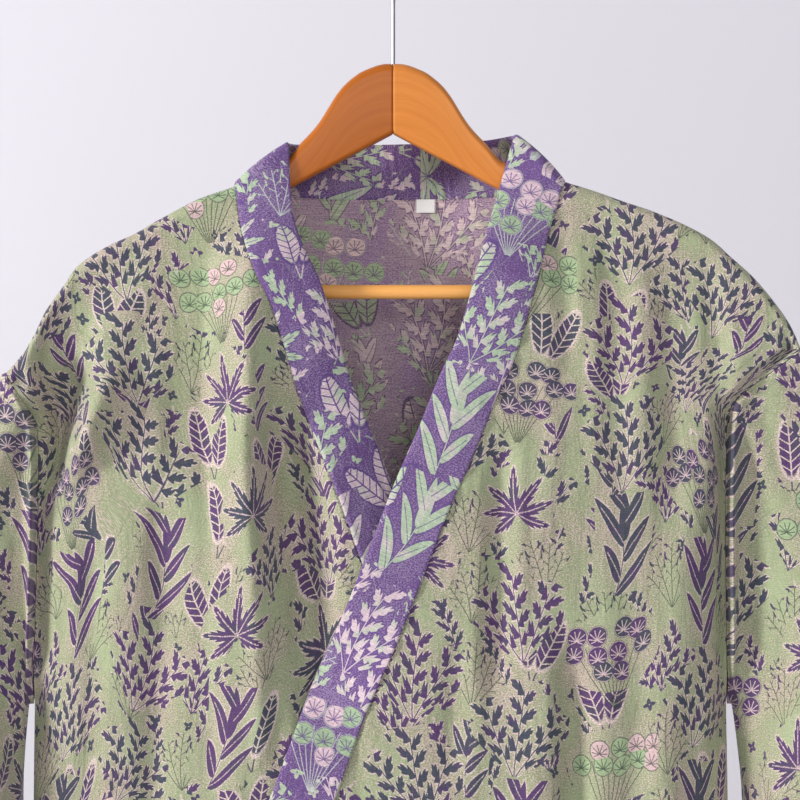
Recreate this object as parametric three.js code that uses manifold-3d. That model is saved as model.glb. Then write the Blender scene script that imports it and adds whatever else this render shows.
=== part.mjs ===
// A kimono robe hung on a wooden hanger, in millimetres, +Z up.
// The origin is the inside top of the hook, where a rail carries it. +X is to
// the right seen from the front, and the front of the robe faces -Y.
import * as THREE from 'three';
import { mergeVertices } from 'three/addons/utils/BufferGeometryUtils.js';
import Module from 'manifold-3d';

// Sizes of the cloth
const CLOTH = 1.5;
const BAND = 3.0;
const SEAM_GAP = 0.3;
const HEM_Z = -1327;
const NECK_SEAT = 0.8;
const BAND_GAP = 0.5;
const NECK_GAP = 0.5;
const SIDE_GAP = 1.3;
const ARM_GAP = 0.65;
const MERGE = 1e-4;

// Sizes of the hanger
const HOOK_RISE = 92;
const HOOK_WIRE = 1.5;
const RAIL_RADIUS = 20;
const HOOK_GRIP = 20;
const WOOD_HALF_WIDTH = 222;
const WOOD_RADIUS = 7;
const WOOD_SWEEP = -0.0875;
const BAR_RADIUS = 5;
const BAR_Z = -257;
const BAR_END = 213;
const WOOD_END = 0.35;
const WOOD_TIP_DROP = 1.5;
const WOOD_TIP_OUT = 196;
const WOOD_COVERED_OUT = 66;
const WOOD_BLEND = 24;
const WOOD_FOOT_ROUND = 3;
const ARM_TURNS = [0, 0.12, 0.25, 0.38, 0.5, 0.62, 0.75, 0.88, 1];
const ARM_STATIONS = [
  0.15, 8, 17, 26.5, 38.6, 46, 54, 67.5, 78, 92, 106, 121, 143, 162, 185, 199, 210, 216, 219.5, 222,
];
const HOOK_BEND_Z = -48;
const HOOK_BEND_LENGTH = 27;
const HOOK_SWEEP = Math.PI * 1.12;
const HOOK_STEPS = 40;
const HOOK_JOIN = -Math.PI / 6;
const BEND_PULL = 0.4;
const WIRE_SIDES = 4;
const STEM_BORE_SIDES = 5;
const STEM_BORE_CLEAR = 10;
const BAR_SIDES = 8;

// Depths of the hung robe, seen from the side
const FRONT_Y = -48;
const FRONT_BOW = 14;
const BACK_Y = 26;
const BACK_BOW = -22;
const HALF_WIDTH = 240;
const SEAM_Y = -10;
const FRONT_FALL = 90;
const BACK_FALL = 120;
const LAP = 3.2;
const LAP_FALL = 80;
const FOLD_START = 60;
const SETTLE = 30;
const NECK_BLEND = 36;
const RIDGE_RADIUS = WOOD_RADIUS + NECK_SEAT + CLOTH / 2;
const DROOP_RADIUS = 11;
const DROOP_LENGTH = 20;
const OUTERMOST = 287;

// Heights of the sleeve seam
const SEAM_TURN_Z = -337;
const ARMPIT_Z = -560;

// Side edge of each face: how far it stands out beside the shoulder's end, and
// how deep its trough is along the sleeve, with the lengths of those turns
const FRONT_EDGE = { stand: 21, trough: 11 };
const BACK_EDGE = { stand: 14, trough: 13 };
const EDGE_TOP_TURN = 16;
const EDGE_SETTLE = 40;
const EDGE_TURN = 20;
const EDGE_TURN_EARLY = 6;
const TROUGH_TURN = 24;
const TROUGH_EARLY = 12;
const ARMPIT_TURN = 30;
const ARMPIT_EARLY = 34;
const SIDE_EARLY = 44;
const CORNER_EARLY = 20;
const CORNER_TURN = 60;

// Fold that stands forward outside the hanger's end
const ARM_FOLD = { rise: 12, turn: 10, fall: 70, endEarly: 10, endTurn: 20 };

// How a fold starts before its first point and how long it takes to rise
const FOLD_OVERRUN = 0.12;
const FOLD_FADE = 0.3;

// Top and lower edge of the bare wood: distance from the middle, height
const WOOD_TOP = [
  { out: 0, z: -92 }, { out: 8, z: -92.5 }, { out: 17, z: -95.5 }, { out: 26.5, z: -100.5 },
  { out: 38.6, z: -112 }, { out: 54, z: -136 }, { out: 67.5, z: -151 }, { out: 78, z: -161.5 },
];
const WOOD_FOOT = [
  { out: 0, z: -142.4 }, { out: 73, z: -181.8 }, { out: 150, z: -223.4 }, { out: 186, z: -245 },
  { out: 204, z: -261 }, { out: WOOD_HALF_WIDTH, z: -266 },
];

// Shoulder line, fold beside the sleeve, side edge and neck of each half
const RIGHT = {
  sign: 1,
  neckOut: 121,
  bandWidth: 42,
  tilt: 0,
  shoulder: [
    { out: 78, z: -162 }, { out: 121, z: -177 }, { out: 143, z: -184 }, { out: 162, z: -191 },
    { out: 185, z: -199 }, { out: 210, z: -210 }, { out: 227, z: -220 }, { out: 239, z: -231 },
    { out: 255, z: -246 }, { out: 270, z: -265 }, { out: 280, z: -281 }, { out: 287, z: -298 },
  ],
  groove: [{ z: -228, out: 228 }, { z: -260, out: 230.6 }, { z: -308, out: 235.4 }, { z: -340, out: 237 }],
  edge: [
    { z: -298, out: 287 }, { z: -312, out: 268 }, { z: -326, out: 250 }, { z: SEAM_TURN_Z, out: 239.5 },
    { z: -352, out: 237 }, { z: -450, out: 236.5 }, { z: ARMPIT_Z, out: 238 }, { z: -900, out: 243 },
    { z: HEM_Z, out: 247 },
  ],
  armTop: [
    { at: 0, out: 287, z: -298 }, { at: 0.04, out: 293, z: -309 }, { at: 0.2, out: 318, z: -360 },
    { at: 0.38, out: 338, z: -420 }, { at: 0.6, out: 352, z: -500 }, { at: 0.82, out: 360, z: -580 },
    { at: 1, out: 365, z: -646 },
  ],
  cuff: { out: 256, z: -704 },
};
const LEFT = {
  sign: -1,
  neckOut: 112,
  bandWidth: 37,
  tilt: 12,
  shoulder: [
    { out: 78, z: -164 }, { out: 112, z: -180 }, { out: 139, z: -190 }, { out: 167, z: -205 },
    { out: 184, z: -215 }, { out: 205, z: -225 }, { out: 225, z: -239 }, { out: 233, z: -251 },
    { out: 245, z: -269 }, { out: 253, z: -287 }, { out: 261, z: -301 }, { out: 272, z: -314 },
  ],
  groove: [{ z: -239, out: 226 }, { z: -283, out: 245.5 }, { z: -305, out: 250.6 }, { z: -355, out: 252.7 }],
  edge: [
    { z: -314, out: 272 }, { z: -328, out: 264 }, { z: -340, out: 257 }, { z: -352, out: 253 },
    { z: -391, out: 252 }, { z: ARMPIT_Z, out: 256 }, { z: -900, out: 258 }, { z: HEM_Z, out: 260 },
  ],
  armTop: [
    { at: 0, out: 272, z: -314 }, { at: 0.04, out: 282, z: -325 }, { at: 0.2, out: 306, z: -374 },
    { at: 0.38, out: 327, z: -432 }, { at: 0.6, out: 343, z: -510 }, { at: 0.82, out: 354, z: -588 },
    { at: 1, out: 361, z: -654 },
  ],
  cuff: { out: 268, z: -708 },
};

// Seam between collar and front: x against height
const OVER_SEAM = [
  { z: -140, x: 131 }, { z: -177, x: 121 }, { z: -200, x: 114.3 }, { z: -216, x: 109.3 },
  { z: -260.5, x: 97.2 }, { z: -305, x: 84.2 }, { z: -334, x: 70.8 }, { z: -370, x: 56.4 },
  { z: -406, x: 40.6 }, { z: -444.5, x: 25.5 }, { z: -508, x: 0.7 }, { z: -552, x: -18.7 },
  { z: -622, x: -44.8 }, { z: -760, x: -100 }, { z: -880, x: -147 }, { z: -960, x: -168 },
  { z: -1040, x: -175 }, { z: HEM_Z, x: -175 },
];
const UNDER_SEAM = [
  { z: -140, x: -120 }, { z: -180, x: -112 }, { z: -212, x: -107 }, { z: -242, x: -97 },
  { z: -262, x: -87 }, { z: -287, x: -78.6 }, { z: -334, x: -64.4 }, { z: -400, x: -38.5 },
  { z: -447, x: -21.4 }, { z: -622, x: 45 }, { z: -760, x: 97 }, { z: -880, x: 139 },
  { z: -960, x: 153 }, { z: -1040, x: 158 }, { z: HEM_Z, x: 158 },
];

// Back neck seam, with the free edge of the collar that stands on it
const NECK_RIGHT = [
  { x: 21.3, y: 30.6, z: -187, freeX: 21.3, freeY: 34, freeZ: -146 },
  { x: 40, y: 30, z: -186.5, freeX: 39, freeY: 32.8, freeZ: -145.6 },
  { x: 60, y: 28, z: -185.8, freeX: 56, freeY: 29.5, freeZ: -145 },
  { x: 76, y: 24.5, z: -185, freeX: 68, freeY: 24, freeZ: -144.6 },
  { x: 90, y: 18.5, z: -183.4, freeX: 76.5, freeY: 16, freeZ: -144.2 },
  { x: 101, y: 12, z: -181.6, freeX: 82, freeY: 8, freeZ: -144 },
  { x: 110, y: 5, z: -179.8, freeX: 85.5, freeY: 1, freeZ: -144.2 },
  { x: 116, y: -1, z: -178.8, freeX: 87, freeY: -5, freeZ: -144.4 },
  { x: 119.4, y: -6, z: -178.2, freeX: 87.3, freeY: -9.5, freeZ: -144.7 },
  { x: 121, y: -10.6, z: -177.75, freeX: 86.5, freeY: -13, freeZ: -145 },
];
const NECK_LEFT = [
  { x: 20.7, y: 30.6, z: -187, freeX: 20.7, freeY: 34, freeZ: -146 },
  { x: 0, y: 31, z: -187.5, freeX: 1, freeY: 34.5, freeZ: -146.4 },
  { x: -22, y: 30.6, z: -187.5, freeX: -20, freeY: 33.5, freeZ: -147 },
  { x: -44, y: 28.6, z: -187.2, freeX: -39, freeY: 30.5, freeZ: -147.6 },
  { x: -64, y: 25, z: -186.6, freeX: -55, freeY: 25, freeZ: -148.4 },
  { x: -80, y: 19, z: -185.6, freeX: -64.5, freeY: 17, freeZ: -149.2 },
  { x: -92, y: 12, z: -184.2, freeX: -70, freeY: 9, freeZ: -150 },
  { x: -101, y: 5.5, z: -182.8, freeX: -73, freeY: 2, freeZ: -150.5 },
  { x: -107.4, y: -0.5, z: -181.7, freeX: -74.5, freeY: -4.5, freeZ: -150.8 },
  { x: -110.6, y: -5.4, z: -181.2, freeX: -74.8, freeY: -9.5, freeZ: -151 },
  { x: -112, y: -9.8, z: -180.75, freeX: -74.5, freeY: -12.5, freeZ: -151.2 },
];

// Folds of the fronts and of the back: a soft ridge from one point down to
// another, its rise toward the viewer (a trough is negative), its half width
const FRONT_FOLDS = [
  { x: -113, z: -195, toX: -102, toZ: -445, rise: 6, half: 15 },
  { x: -86, z: -335, toX: -58, toZ: -510, rise: -6, half: 21 },
  { x: -58, z: -350, toX: -26, toZ: -440, rise: 4, half: 11 },
  { x: -150, z: -205, toX: -140, toZ: -390, rise: -5, half: 24 },
  { x: -176, z: -230, toX: -224, toZ: -385, rise: 7, half: 15 },
  { x: -238, z: -290, toX: -232, toZ: -400, rise: -5, half: 14 },
  { x: -190, z: -420, toX: -205, toZ: -760, rise: 5, half: 28 },
  { x: 120, z: -195, toX: 125, toZ: -320, rise: -4, half: 10 },
  { x: 149, z: -190, toX: 153, toZ: -330, rise: -3.5, half: 9 },
  { x: 172, z: -210, toX: 176, toZ: -400, rise: 3.5, half: 13 },
  { x: 78, z: -365, toX: 70, toZ: -540, rise: -5, half: 11 },
  { x: 46, z: -500, toX: 40, toZ: -600, rise: -3.5, half: 9 },
  { x: 104, z: -500, toX: 100, toZ: -860, rise: 5, half: 16 },
  { x: 124, z: -505, toX: 128, toZ: -900, rise: -6, half: 15 },
  { x: 196, z: -420, toX: 192, toZ: -680, rise: 5, half: 17 },
  { x: -150, z: -640, toX: -168, toZ: -1420, rise: -8, half: 34 },
  { x: -92, z: -700, toX: -98, toZ: -1420, rise: 8, half: 34 },
  { x: 30, z: -720, toX: 24, toZ: -1420, rise: -8, half: 32 },
  { x: 88, z: -760, toX: 84, toZ: -1420, rise: 8, half: 34 },
  { x: 190, z: -700, toX: 200, toZ: -1420, rise: -7, half: 30 },
];
const BACK_FOLDS = [
  { x: -196, z: -230, toX: -210, toZ: -700, rise: -7, half: 26 },
  { x: -128, z: -260, toX: -140, toZ: -1420, rise: 8, half: 34 },
  { x: -52, z: -420, toX: -60, toZ: -1420, rise: -9, half: 38 },
  { x: 24, z: -330, toX: 30, toZ: -1420, rise: 8, half: 34 },
  { x: 104, z: -300, toX: 112, toZ: -1100, rise: -8, half: 34 },
  { x: 178, z: -230, toX: 190, toZ: -1420, rise: 8, half: 30 },
];

// Long creases of a sleeve: place round the ring, rise outward, half width
const SLEEVE_FOLDS = [
  { at: 0.12, rise: -7, half: 0.035 }, { at: 0.22, rise: 6, half: 0.04 },
  { at: 0.33, rise: -8, half: 0.035 }, { at: 0.44, rise: 6, half: 0.035 },
  { at: 0.58, rise: -7, half: 0.035 }, { at: 0.7, rise: 7, half: 0.04 },
  { at: 0.83, rise: -7, half: 0.04 },
];
const SLEEVE_FRONT = 62;
const SLEEVE_BACK = 56;
const ARMHOLE_TURN = 22;
const SLEEVE_LEAD = 3.5;

// Label at the back neck
const LABEL = { x: 24, width: 14, height: 10, thickness: 1 };

const COLOURS = {
  green: 0x9cab74,
  purple: 0x62448a,
  wood: 0xc47a3a,
  bar: 0xd99a52,
  steel: 0x9a9ca0,
  label: 0xf2f1ee,
};

function clamp(value) {
  return Math.min(1, Math.max(0, value));
}

function smooth(value) {
  const t = clamp(value);
  return t * t * (3 - 2 * t);
}

// Eased share of the way down from one height over a length.
function below(start, length, z) {
  return smooth((start - z) / length);
}

function mix(a, b, t) {
  return a + (b - a) * t;
}

// A smooth curve through a table's rows, held level past both ends.
function curveOf(rows, from, to) {
  const sorted = [...rows].sort((a, b) => a[from] - b[from]);
  const last = sorted.length - 1;
  const slopes = sorted.map((row, i) => {
    const before = sorted[Math.max(0, i - 1)];
    const after = sorted[Math.min(last, i + 1)];
    return (after[to] - before[to]) / (after[from] - before[from]);
  });
  return (at) => {
    const held = Math.min(sorted[last][from], Math.max(sorted[0][from], at));
    let i = 0;
    while (i < last - 1 && held > sorted[i + 1][from]) i += 1;
    const span = sorted[i + 1][from] - sorted[i][from];
    const t = (held - sorted[i][from]) / span;
    const rise = sorted[i + 1][to] - sorted[i][to];
    const start = slopes[i] * span - rise;
    const end = rise - slopes[i + 1] * span;
    return sorted[i][to] + rise * t + t * (1 - t) * (start * (1 - t) + end * t);
  };
}

// Rise of a set of folds at one place of a panel.
function foldRise(folds, x, z) {
  return folds.reduce((sum, fold) => {
    const along = (z - fold.z) / (fold.toZ - fold.z);
    const middle = mix(fold.x, fold.toX, clamp(along));
    const across = (x - middle) / fold.half;
    const ends = smooth((along + FOLD_OVERRUN) / FOLD_FADE)
      * smooth((1 + FOLD_OVERRUN - along) / FOLD_FADE);
    return sum + fold.rise * Math.exp(-across * across) * ends;
  }, 0);
}

function meshOf(name, geometry, colour, roughness, metalness) {
  const material = new THREE.MeshStandardMaterial({ color: colour, roughness, metalness });
  const mesh = new THREE.Mesh(geometry, material);
  mesh.name = name;
  return mesh;
}

// A closed wall of even thickness on a grid of middle points. points[j][i]
// runs across i and along j, and a ring joins its last column to its first.
function wall(points, thickness, ring = false) {
  const rows = points.length;
  const columns = points[0].length;
  const outer = [];
  const inner = [];
  for (let j = 0; j < rows; j += 1) {
    for (let i = 0; i < columns; i += 1) {
      const left = ring ? (i + columns - 1) % columns : Math.max(0, i - 1);
      const right = ring ? (i + 1) % columns : Math.min(columns - 1, i + 1);
      const across = points[j][right].clone().sub(points[j][left]);
      const along = points[Math.min(rows - 1, j + 1)][i].clone().sub(points[Math.max(0, j - 1)][i]);
      const normal = across.cross(along).normalize().multiplyScalar(thickness / 2);
      outer.push(points[j][i].clone().add(normal));
      inner.push(points[j][i].clone().sub(normal));
    }
  }
  const vertices = [...outer, ...inner];
  const shift = outer.length;
  const triangles = [];
  const quad = (a, b, c, d) => triangles.push(a, b, c, a, c, d);
  const spans = ring ? columns : columns - 1;
  for (let j = 0; j < rows - 1; j += 1) {
    for (let i = 0; i < spans; i += 1) {
      const a = j * columns + i;
      const b = j * columns + ((i + 1) % columns);
      quad(a, b, b + columns, a + columns);
      quad(shift + b, shift + a, shift + a + columns, shift + b + columns);
    }
  }
  const end = (rows - 1) * columns;
  for (let i = 0; i < spans; i += 1) {
    const next = (i + 1) % columns;
    quad(next, i, shift + i, shift + next);
    quad(end + i, end + next, shift + end + next, shift + end + i);
  }
  for (let j = 0; !ring && j < rows - 1; j += 1) {
    const a = j * columns;
    const b = a + columns - 1;
    quad(a, a + columns, shift + a + columns, shift + a);
    quad(b + columns, b, shift + b, shift + b + columns);
  }
  return closedGeometry(vertices, triangles);
}

// A geometry from points and triangles, its faces turned to point out.
function closedGeometry(vertices, triangles) {
  let volume = 0;
  for (let i = 0; i < triangles.length; i += 3) {
    const [a, b, c] = [0, 1, 2].map((k) => vertices[triangles[i + k]]);
    volume += a.dot(b.clone().cross(c));
  }
  const facing = volume < 0 ? [...triangles].reverse() : triangles;
  const geometry = new THREE.BufferGeometry().setFromPoints(vertices);
  geometry.setIndex(facing);
  geometry.computeVertexNormals();
  return geometry;
}

// Height of the cloth's shoulder line and the depth of the arm below it
const ridgeOf = new Map([RIGHT, LEFT].map((half) => [half, curveOf(half.shoulder, 'out', 'z')]));

function ridgeZ(half, out) {
  return ridgeOf.get(half)(out) - CLOTH / 2;
}

function armY(out) {
  return WOOD_SWEEP * Math.abs(out);
}

// Radius of the cloth over the arm, wider where it droops past the arm's end.
function roundAt(out) {
  return mix(RIDGE_RADIUS, DROOP_RADIUS, smooth((out - WOOD_HALF_WIDTH) / DROOP_LENGTH));
}

// How far the cloth stands off the ridge's middle at a drop below it.
function overRidge(out, drop) {
  const radius = roundAt(out);
  const down = 1 - Math.min(drop, radius) / radius;
  return radius * Math.sqrt(1 - down * down);
}

// Depth of the front at a place, before the edge turns to its seam.
function frontY(half, x, z) {
  const out = Math.abs(x);
  const drop = Math.max(0, ridgeZ(half, Math.min(out, OUTERMOST)) - z);
  const lap = -half.sign * LAP * smooth(drop / LAP_FALL);
  const flat = FRONT_Y + FRONT_BOW * (x / HALF_WIDTH) ** 2;
  const hung = mix(armY(out) - overRidge(out, drop), flat, smooth((drop - RIDGE_RADIUS) / FRONT_FALL));
  return hung + lap - foldRise(FRONT_FOLDS, x, z) * smooth((drop - RIDGE_RADIUS) / FOLD_START);
}

const halves = new Map([RIGHT, LEFT].map((half) => [half, {
  groove: curveOf(half.groove, 'z', 'out'),
  edge: curveOf(half.edge, 'z', 'out'),
  topZ: half.edge[0].z,
  topOut: half.edge[0].out,
  armZ: curveOf(half.armTop, 'at', 'z'),
  armOut: curveOf(half.armTop, 'at', 'out'),
}]));

// Depth of a panel's side edge: along the sleeve seam, then at the side seam.
// face is -1 at the front and +1 at the back.
function edgeY(half, z, face) {
  const { topZ, topOut } = halves.get(half);
  const { stand, trough } = face < 0 ? FRONT_EDGE : BACK_EDGE;
  const past = 1 - below(SEAM_TURN_Z + EDGE_TURN_EARLY, EDGE_TURN, z);
  const bulge = stand * below(topZ, EDGE_TOP_TURN, z) * past;
  const open = 1 - below(ARMPIT_Z + ARMPIT_EARLY, ARMPIT_TURN, z);
  const hollow = trough * below(SEAM_TURN_Z + TROUGH_EARLY, TROUGH_TURN, z) * open;
  const top = mix(armY(topOut), SEAM_Y, below(topZ, EDGE_SETTLE, z));
  const apart = mix(SEAM_GAP / 2, SIDE_GAP / 2, below(ARMPIT_Z + SIDE_EARLY, ARMPIT_TURN, z));
  return top + face * (apart + bulge + hollow);
}

const overSeam = curveOf(OVER_SEAM, 'z', 'x');
const underSeam = curveOf(UNDER_SEAM, 'z', 'x');

function seamOf(half) {
  return half === RIGHT ? overSeam : underSeam;
}

// Distances down a panel from its top edge, in millimetres, with the hem last
const PANEL_FALLS = [
  0, 1.5, 4, 8, 12.8, 21, 31, 43, 57, 74, 95, 120, 148, 180, 212, 236, 252, 268, 300, 360, 440,
  560, 720, 920, 1150,
];
const EDGE_STEPS = 3;
const FRONT_STEPS = 14;
const SHOULDER_STEPS = 7;
const NECK_SHARES = [0, 1 / 6, 1 / 3, 1 / 2, 0.66, 0.8, 0.9, 0.96, 1];
const TROUGH_WIDTH = 16;
const CORNER_WIDTH = 26;

// Drop below the top edge at one distance down: round the arm, then straight.
function dropAt(fall, out) {
  const radius = roundAt(out);
  const turned = Math.min(fall / radius, Math.PI / 2);
  return radius * (1 - Math.cos(turned)) + Math.max(0, fall - (radius * Math.PI) / 2);
}

// Height of one fall of a column whose top lies at topZ, so that the last
// fall always ends at the hem.
function heightAt(fall, out, topZ) {
  const full = PANEL_FALLS[PANEL_FALLS.length - 1];
  const last = dropAt(full, out);
  const stretched = fall * mix(1, (topZ - HEM_Z) / last, smooth(fall / full));
  return fall === full ? HEM_Z : topZ - dropAt(stretched, out);
}

// The fold that stands forward outside the hanger's end.
function armFold(half, x, z) {
  const { groove } = halves.get(half);
  const beyond = smooth((Math.abs(x) - groove(z)) / ARM_FOLD.turn + 0.5);
  const ended = below(SEAM_TURN_Z + ARM_FOLD.endEarly, ARM_FOLD.endTurn, z);
  return ARM_FOLD.rise * beyond * below(half.groove[0].z, ARM_FOLD.fall, z) * (1 - ended);
}

// Place across a panel at one height: the middle stretch, then the turn to
// the side edge. turn runs from 0 at the start of the turn to 1 at the edge.
function besideEdge(half, z, turn) {
  const corner = below(ARMPIT_Z + CORNER_EARLY, CORNER_TURN, z);
  const width = mix(TROUGH_WIDTH, CORNER_WIDTH, corner);
  const reach = Math.sin((turn * Math.PI) / 2);
  const depth = mix(smooth(reach), 1 - Math.cos((turn * Math.PI) / 2), corner);
  return { out: halves.get(half).edge(z) - width * (1 - reach), depth };
}

// One front: columns from the collar seam out to the sleeve and side seam.
function frontPoints(half) {
  const { topOut } = halves.get(half);
  const seam = seamOf(half);
  const columns = FRONT_STEPS + EDGE_STEPS;
  const across = (z, share, turn) => {
    const start = half.sign * seam(z) + SEAM_GAP / 2;
    return mix(start, besideEdge(half, z, turn).out, share);
  };
  return PANEL_FALLS.map((fall) => Array.from({ length: columns + 1 }, (_, i) => {
    const share = Math.min(1, i / FRONT_STEPS);
    const turn = Math.max(0, (i - FRONT_STEPS) / EDGE_STEPS);
    const ridgeOut = mix(half.neckOut + SEAM_GAP / 2, besideEdge(half, half.edge[0].z, turn).out, share);
    const topZ = ridgeZ(half, ridgeOut);
    const z = heightAt(fall, ridgeOut, topZ);
    const shift = (ridgeOut - across(topZ, share, turn)) * (1 - below(topZ, BACK_FALL, z));
    const out = Math.min(across(z, share, turn) + shift, Math.max(topOut, halves.get(half).edge(z)));
    const x = half.sign * out;
    const plain = frontY(half, x, z) - armFold(half, x, z) - SEAM_GAP / 2;
    const settled = below(topZ, SETTLE, z);
    const y = mix(plain, edgeY(half, z, -1), besideEdge(half, z, turn).depth * settled);
    return new THREE.Vector3(x, y, z);
  }));
}

// The back's own seam curves at the neck
const neckRows = [...NECK_LEFT, ...NECK_RIGHT];
const neckY = curveOf(neckRows, 'x', 'y');
const neckZ = curveOf(neckRows, 'x', 'z');

// Where a column of the back starts: at the neck seam or on the shoulder.
function backTop(half, topOut) {
  const topX = half.sign * topOut;
  const atNeck = topOut < half.neckOut;
  return { z: atNeck ? neckZ(topX) : ridgeZ(half, topOut), y: atNeck ? neckY(topX) : null };
}

// Depth of the back below one start of a column.
function backDepth(half, topOut, x, z) {
  const top = backTop(half, topOut);
  const drop = Math.max(0, top.z - z);
  const out = Math.abs(x);
  const onArm = 1 - smooth((half.neckOut - topOut) / NECK_BLEND);
  const root = (top.y ?? armY(out)) + onArm * overRidge(out, drop);
  const flat = BACK_Y + BACK_BOW * (x / HALF_WIDTH) ** 2;
  const hung = mix(root, flat, smooth((drop - onArm * RIDGE_RADIUS) / BACK_FALL));
  return hung + foldRise(BACK_FOLDS, x, z) * smooth((drop - RIDGE_RADIUS) / FOLD_START) + SEAM_GAP / 2;
}

// The back: one panel from side to side, its top at the neck and shoulders.
function backPoints() {
  const neckSteps = NECK_SHARES.length - 1;
  const reach = neckSteps + SHOULDER_STEPS + EDGE_STEPS;
  return PANEL_FALLS.map((fall) => Array.from({ length: 2 * reach + 1 }, (_, i) => {
    const half = i < reach ? LEFT : RIGHT;
    const step = Math.abs(i - reach);
    const turn = Math.max(0, (step - neckSteps - SHOULDER_STEPS) / EDGE_STEPS);
    const wide = clamp((step - neckSteps) / SHOULDER_STEPS);
    const edgeOut = (z) => besideEdge(half, z, turn).out;
    const inner = half.neckOut * NECK_SHARES[Math.min(neckSteps, step)];
    const topOut = mix(inner, edgeOut(half.edge[0].z), wide);
    const top = backTop(half, topOut);
    const lowered = top.z - (step < neckSteps ? SEAM_GAP / 2 : 0);
    const z = heightAt(fall, topOut, lowered);
    const spread = mix(inner * (edgeOut(z) / edgeOut(half.edge[0].z)), edgeOut(z), wide);
    const out = mix(topOut, spread, below(top.z, BACK_FALL, z));
    const x = half.sign * out;
    const settled = besideEdge(half, z, turn).depth * below(top.z, SETTLE, z);
    return new THREE.Vector3(x, mix(backDepth(half, topOut, x, z), edgeY(half, z, 1), settled), z);
  }));
}

const backGrid = backPoints();
const frontGrids = new Map([RIGHT, LEFT].map((half) => [half, frontPoints(half)]));

const BAND_ACROSS = [0, 0.06, 0.36, 0.68, 1];
const BAND_BOW = 2;
const BAND_LIFT = (BAND - CLOTH) / 2;
const JOIN_STEP = 1;
const SLOPE_STEP = 4;

// Heights and lengths over which the collar changes: it bows down to the
// chest, one side leans off the front, and it turns from standing to lying
const BOW_END_Z = -420;
const BOW_FADE = 80;
const LEAN_START_Z = -225;
const LEAN_RISE = 110;
const LEAN_END_Z = -400;
const LEAN_FADE = 90;
const LIE_DOWN = 30;
const NECK_GAP_OUT = 75;
const NECK_GAP_TURN = 20;

// The free edge of the collar standing behind the neck, against its seam's x
const freeEdge = ['freeX', 'freeY', 'freeZ'].map((axis) => curveOf(neckRows, 'x', axis));

// Sections of the collar behind the neck, from the join to the shoulder.
function standingSections(half) {
  const middle = (backGrid[0].length - 1) / 2;
  const last = middle + half.sign * (NECK_SHARES.length - 1);
  const sections = [];
  for (let i = middle + JOIN_STEP; i !== last + half.sign; i += half.sign) {
    const seam = backGrid[0][i].clone();
    const free = new THREE.Vector3(...freeEdge.map((along) => along(seam.x)));
    sections.push({ seam, free });
  }
  for (const point of Object.values(sections[0])) point.x += (half.sign * SEAM_GAP) / 2;
  return sections;
}

// Sections of the collar along the front's own inner edge, down to the hem.
function lyingSections(half, peak) {
  const seam = seamOf(half);
  return frontGrids.get(half).slice(1).map((row) => {
    const start = row[0].clone();
    const { z } = start;
    const slope = (seam(z + SLOPE_STEP) - seam(z - SLOPE_STEP)) / (2 * SLOPE_STEP);
    const square = new THREE.Vector3(-half.sign, 0, half.sign * slope).normalize();
    const free = start.clone().addScaledVector(square, half.bandWidth);
    const leaning = below(LEAN_START_Z, LEAN_RISE, z) * (1 - below(LEAN_END_Z, LEAN_FADE, z));
    free.y = frontY(half, free.x, free.z) + half.tilt * leaning;
    const level = row[0].z - ridgeZ(half, half.neckOut);
    return { seam: start, free: peak.clone().lerp(free, smooth(-level / LIE_DOWN)) };
  });
}

// The collar from its join at the back, round one side of the neck, down the
// front to the hem: the free edge stands up behind and lies on the chest.
function bandPoints(half) {
  const standing = standingSections(half);
  const sections = [...standing, ...lyingSections(half, standing[standing.length - 1].free)];
  return sections.map(({ seam, free }, j) => {
    const next = sections[Math.min(sections.length - 1, j + 1)].seam;
    const path = next.clone().sub(sections[Math.max(0, j - 1)].seam);
    const across = free.clone().sub(seam);
    const outward = path.cross(across).normalize().multiplyScalar(-half.sign);
    const bow = BAND_BOW * smooth((seam.z - BOW_END_Z) / BOW_FADE);
    const besideNeck = smooth((Math.abs(seam.x) - NECK_GAP_OUT) / NECK_GAP_TURN);
    const eased = j < standing.length ? NECK_GAP * besideNeck : 0;
    const start = seam.clone().addScaledVector(across.clone().normalize(), BAND_GAP + eased);
    return BAND_ACROSS.map((q) => start.clone().lerp(free, q)
      .addScaledVector(outward, BAND_LIFT + bow * 4 * q * (1 - q)));
  });
}

// Stations along a sleeve, from the armhole seam to the cuff
const SLEEVE_STATIONS = [0, 0.004, 0.014, 0.035, 0.07, 0.12, 0.18, 0.26, 0.36, 0.48, 0.61, 0.74, 0.87, 1];
const RING_FOOT = 9;
const RING_FOOT_CLEAR = 3;
const UNDERARM_OUT = 7;
const EDGE_STEP = 3;
const UNDERARM_BACK = 2;
const ARM_GAP_EARLY = 45;
const LEAD_RATE = 90;
const TURN_START = 0.004;
const TURN_SHARE = 0.03;
const TURN_EARLY = 15;
const TURN_FOOT = 50;
const NARROW = 0.6;
const WIDEN_SHARE = 0.45;
const FLATNESS = 0.75;
const CREASE_START = 0.05;
const CREASE_SHARE = 0.35;
const TUBE_SHARE = 0.32;

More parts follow.
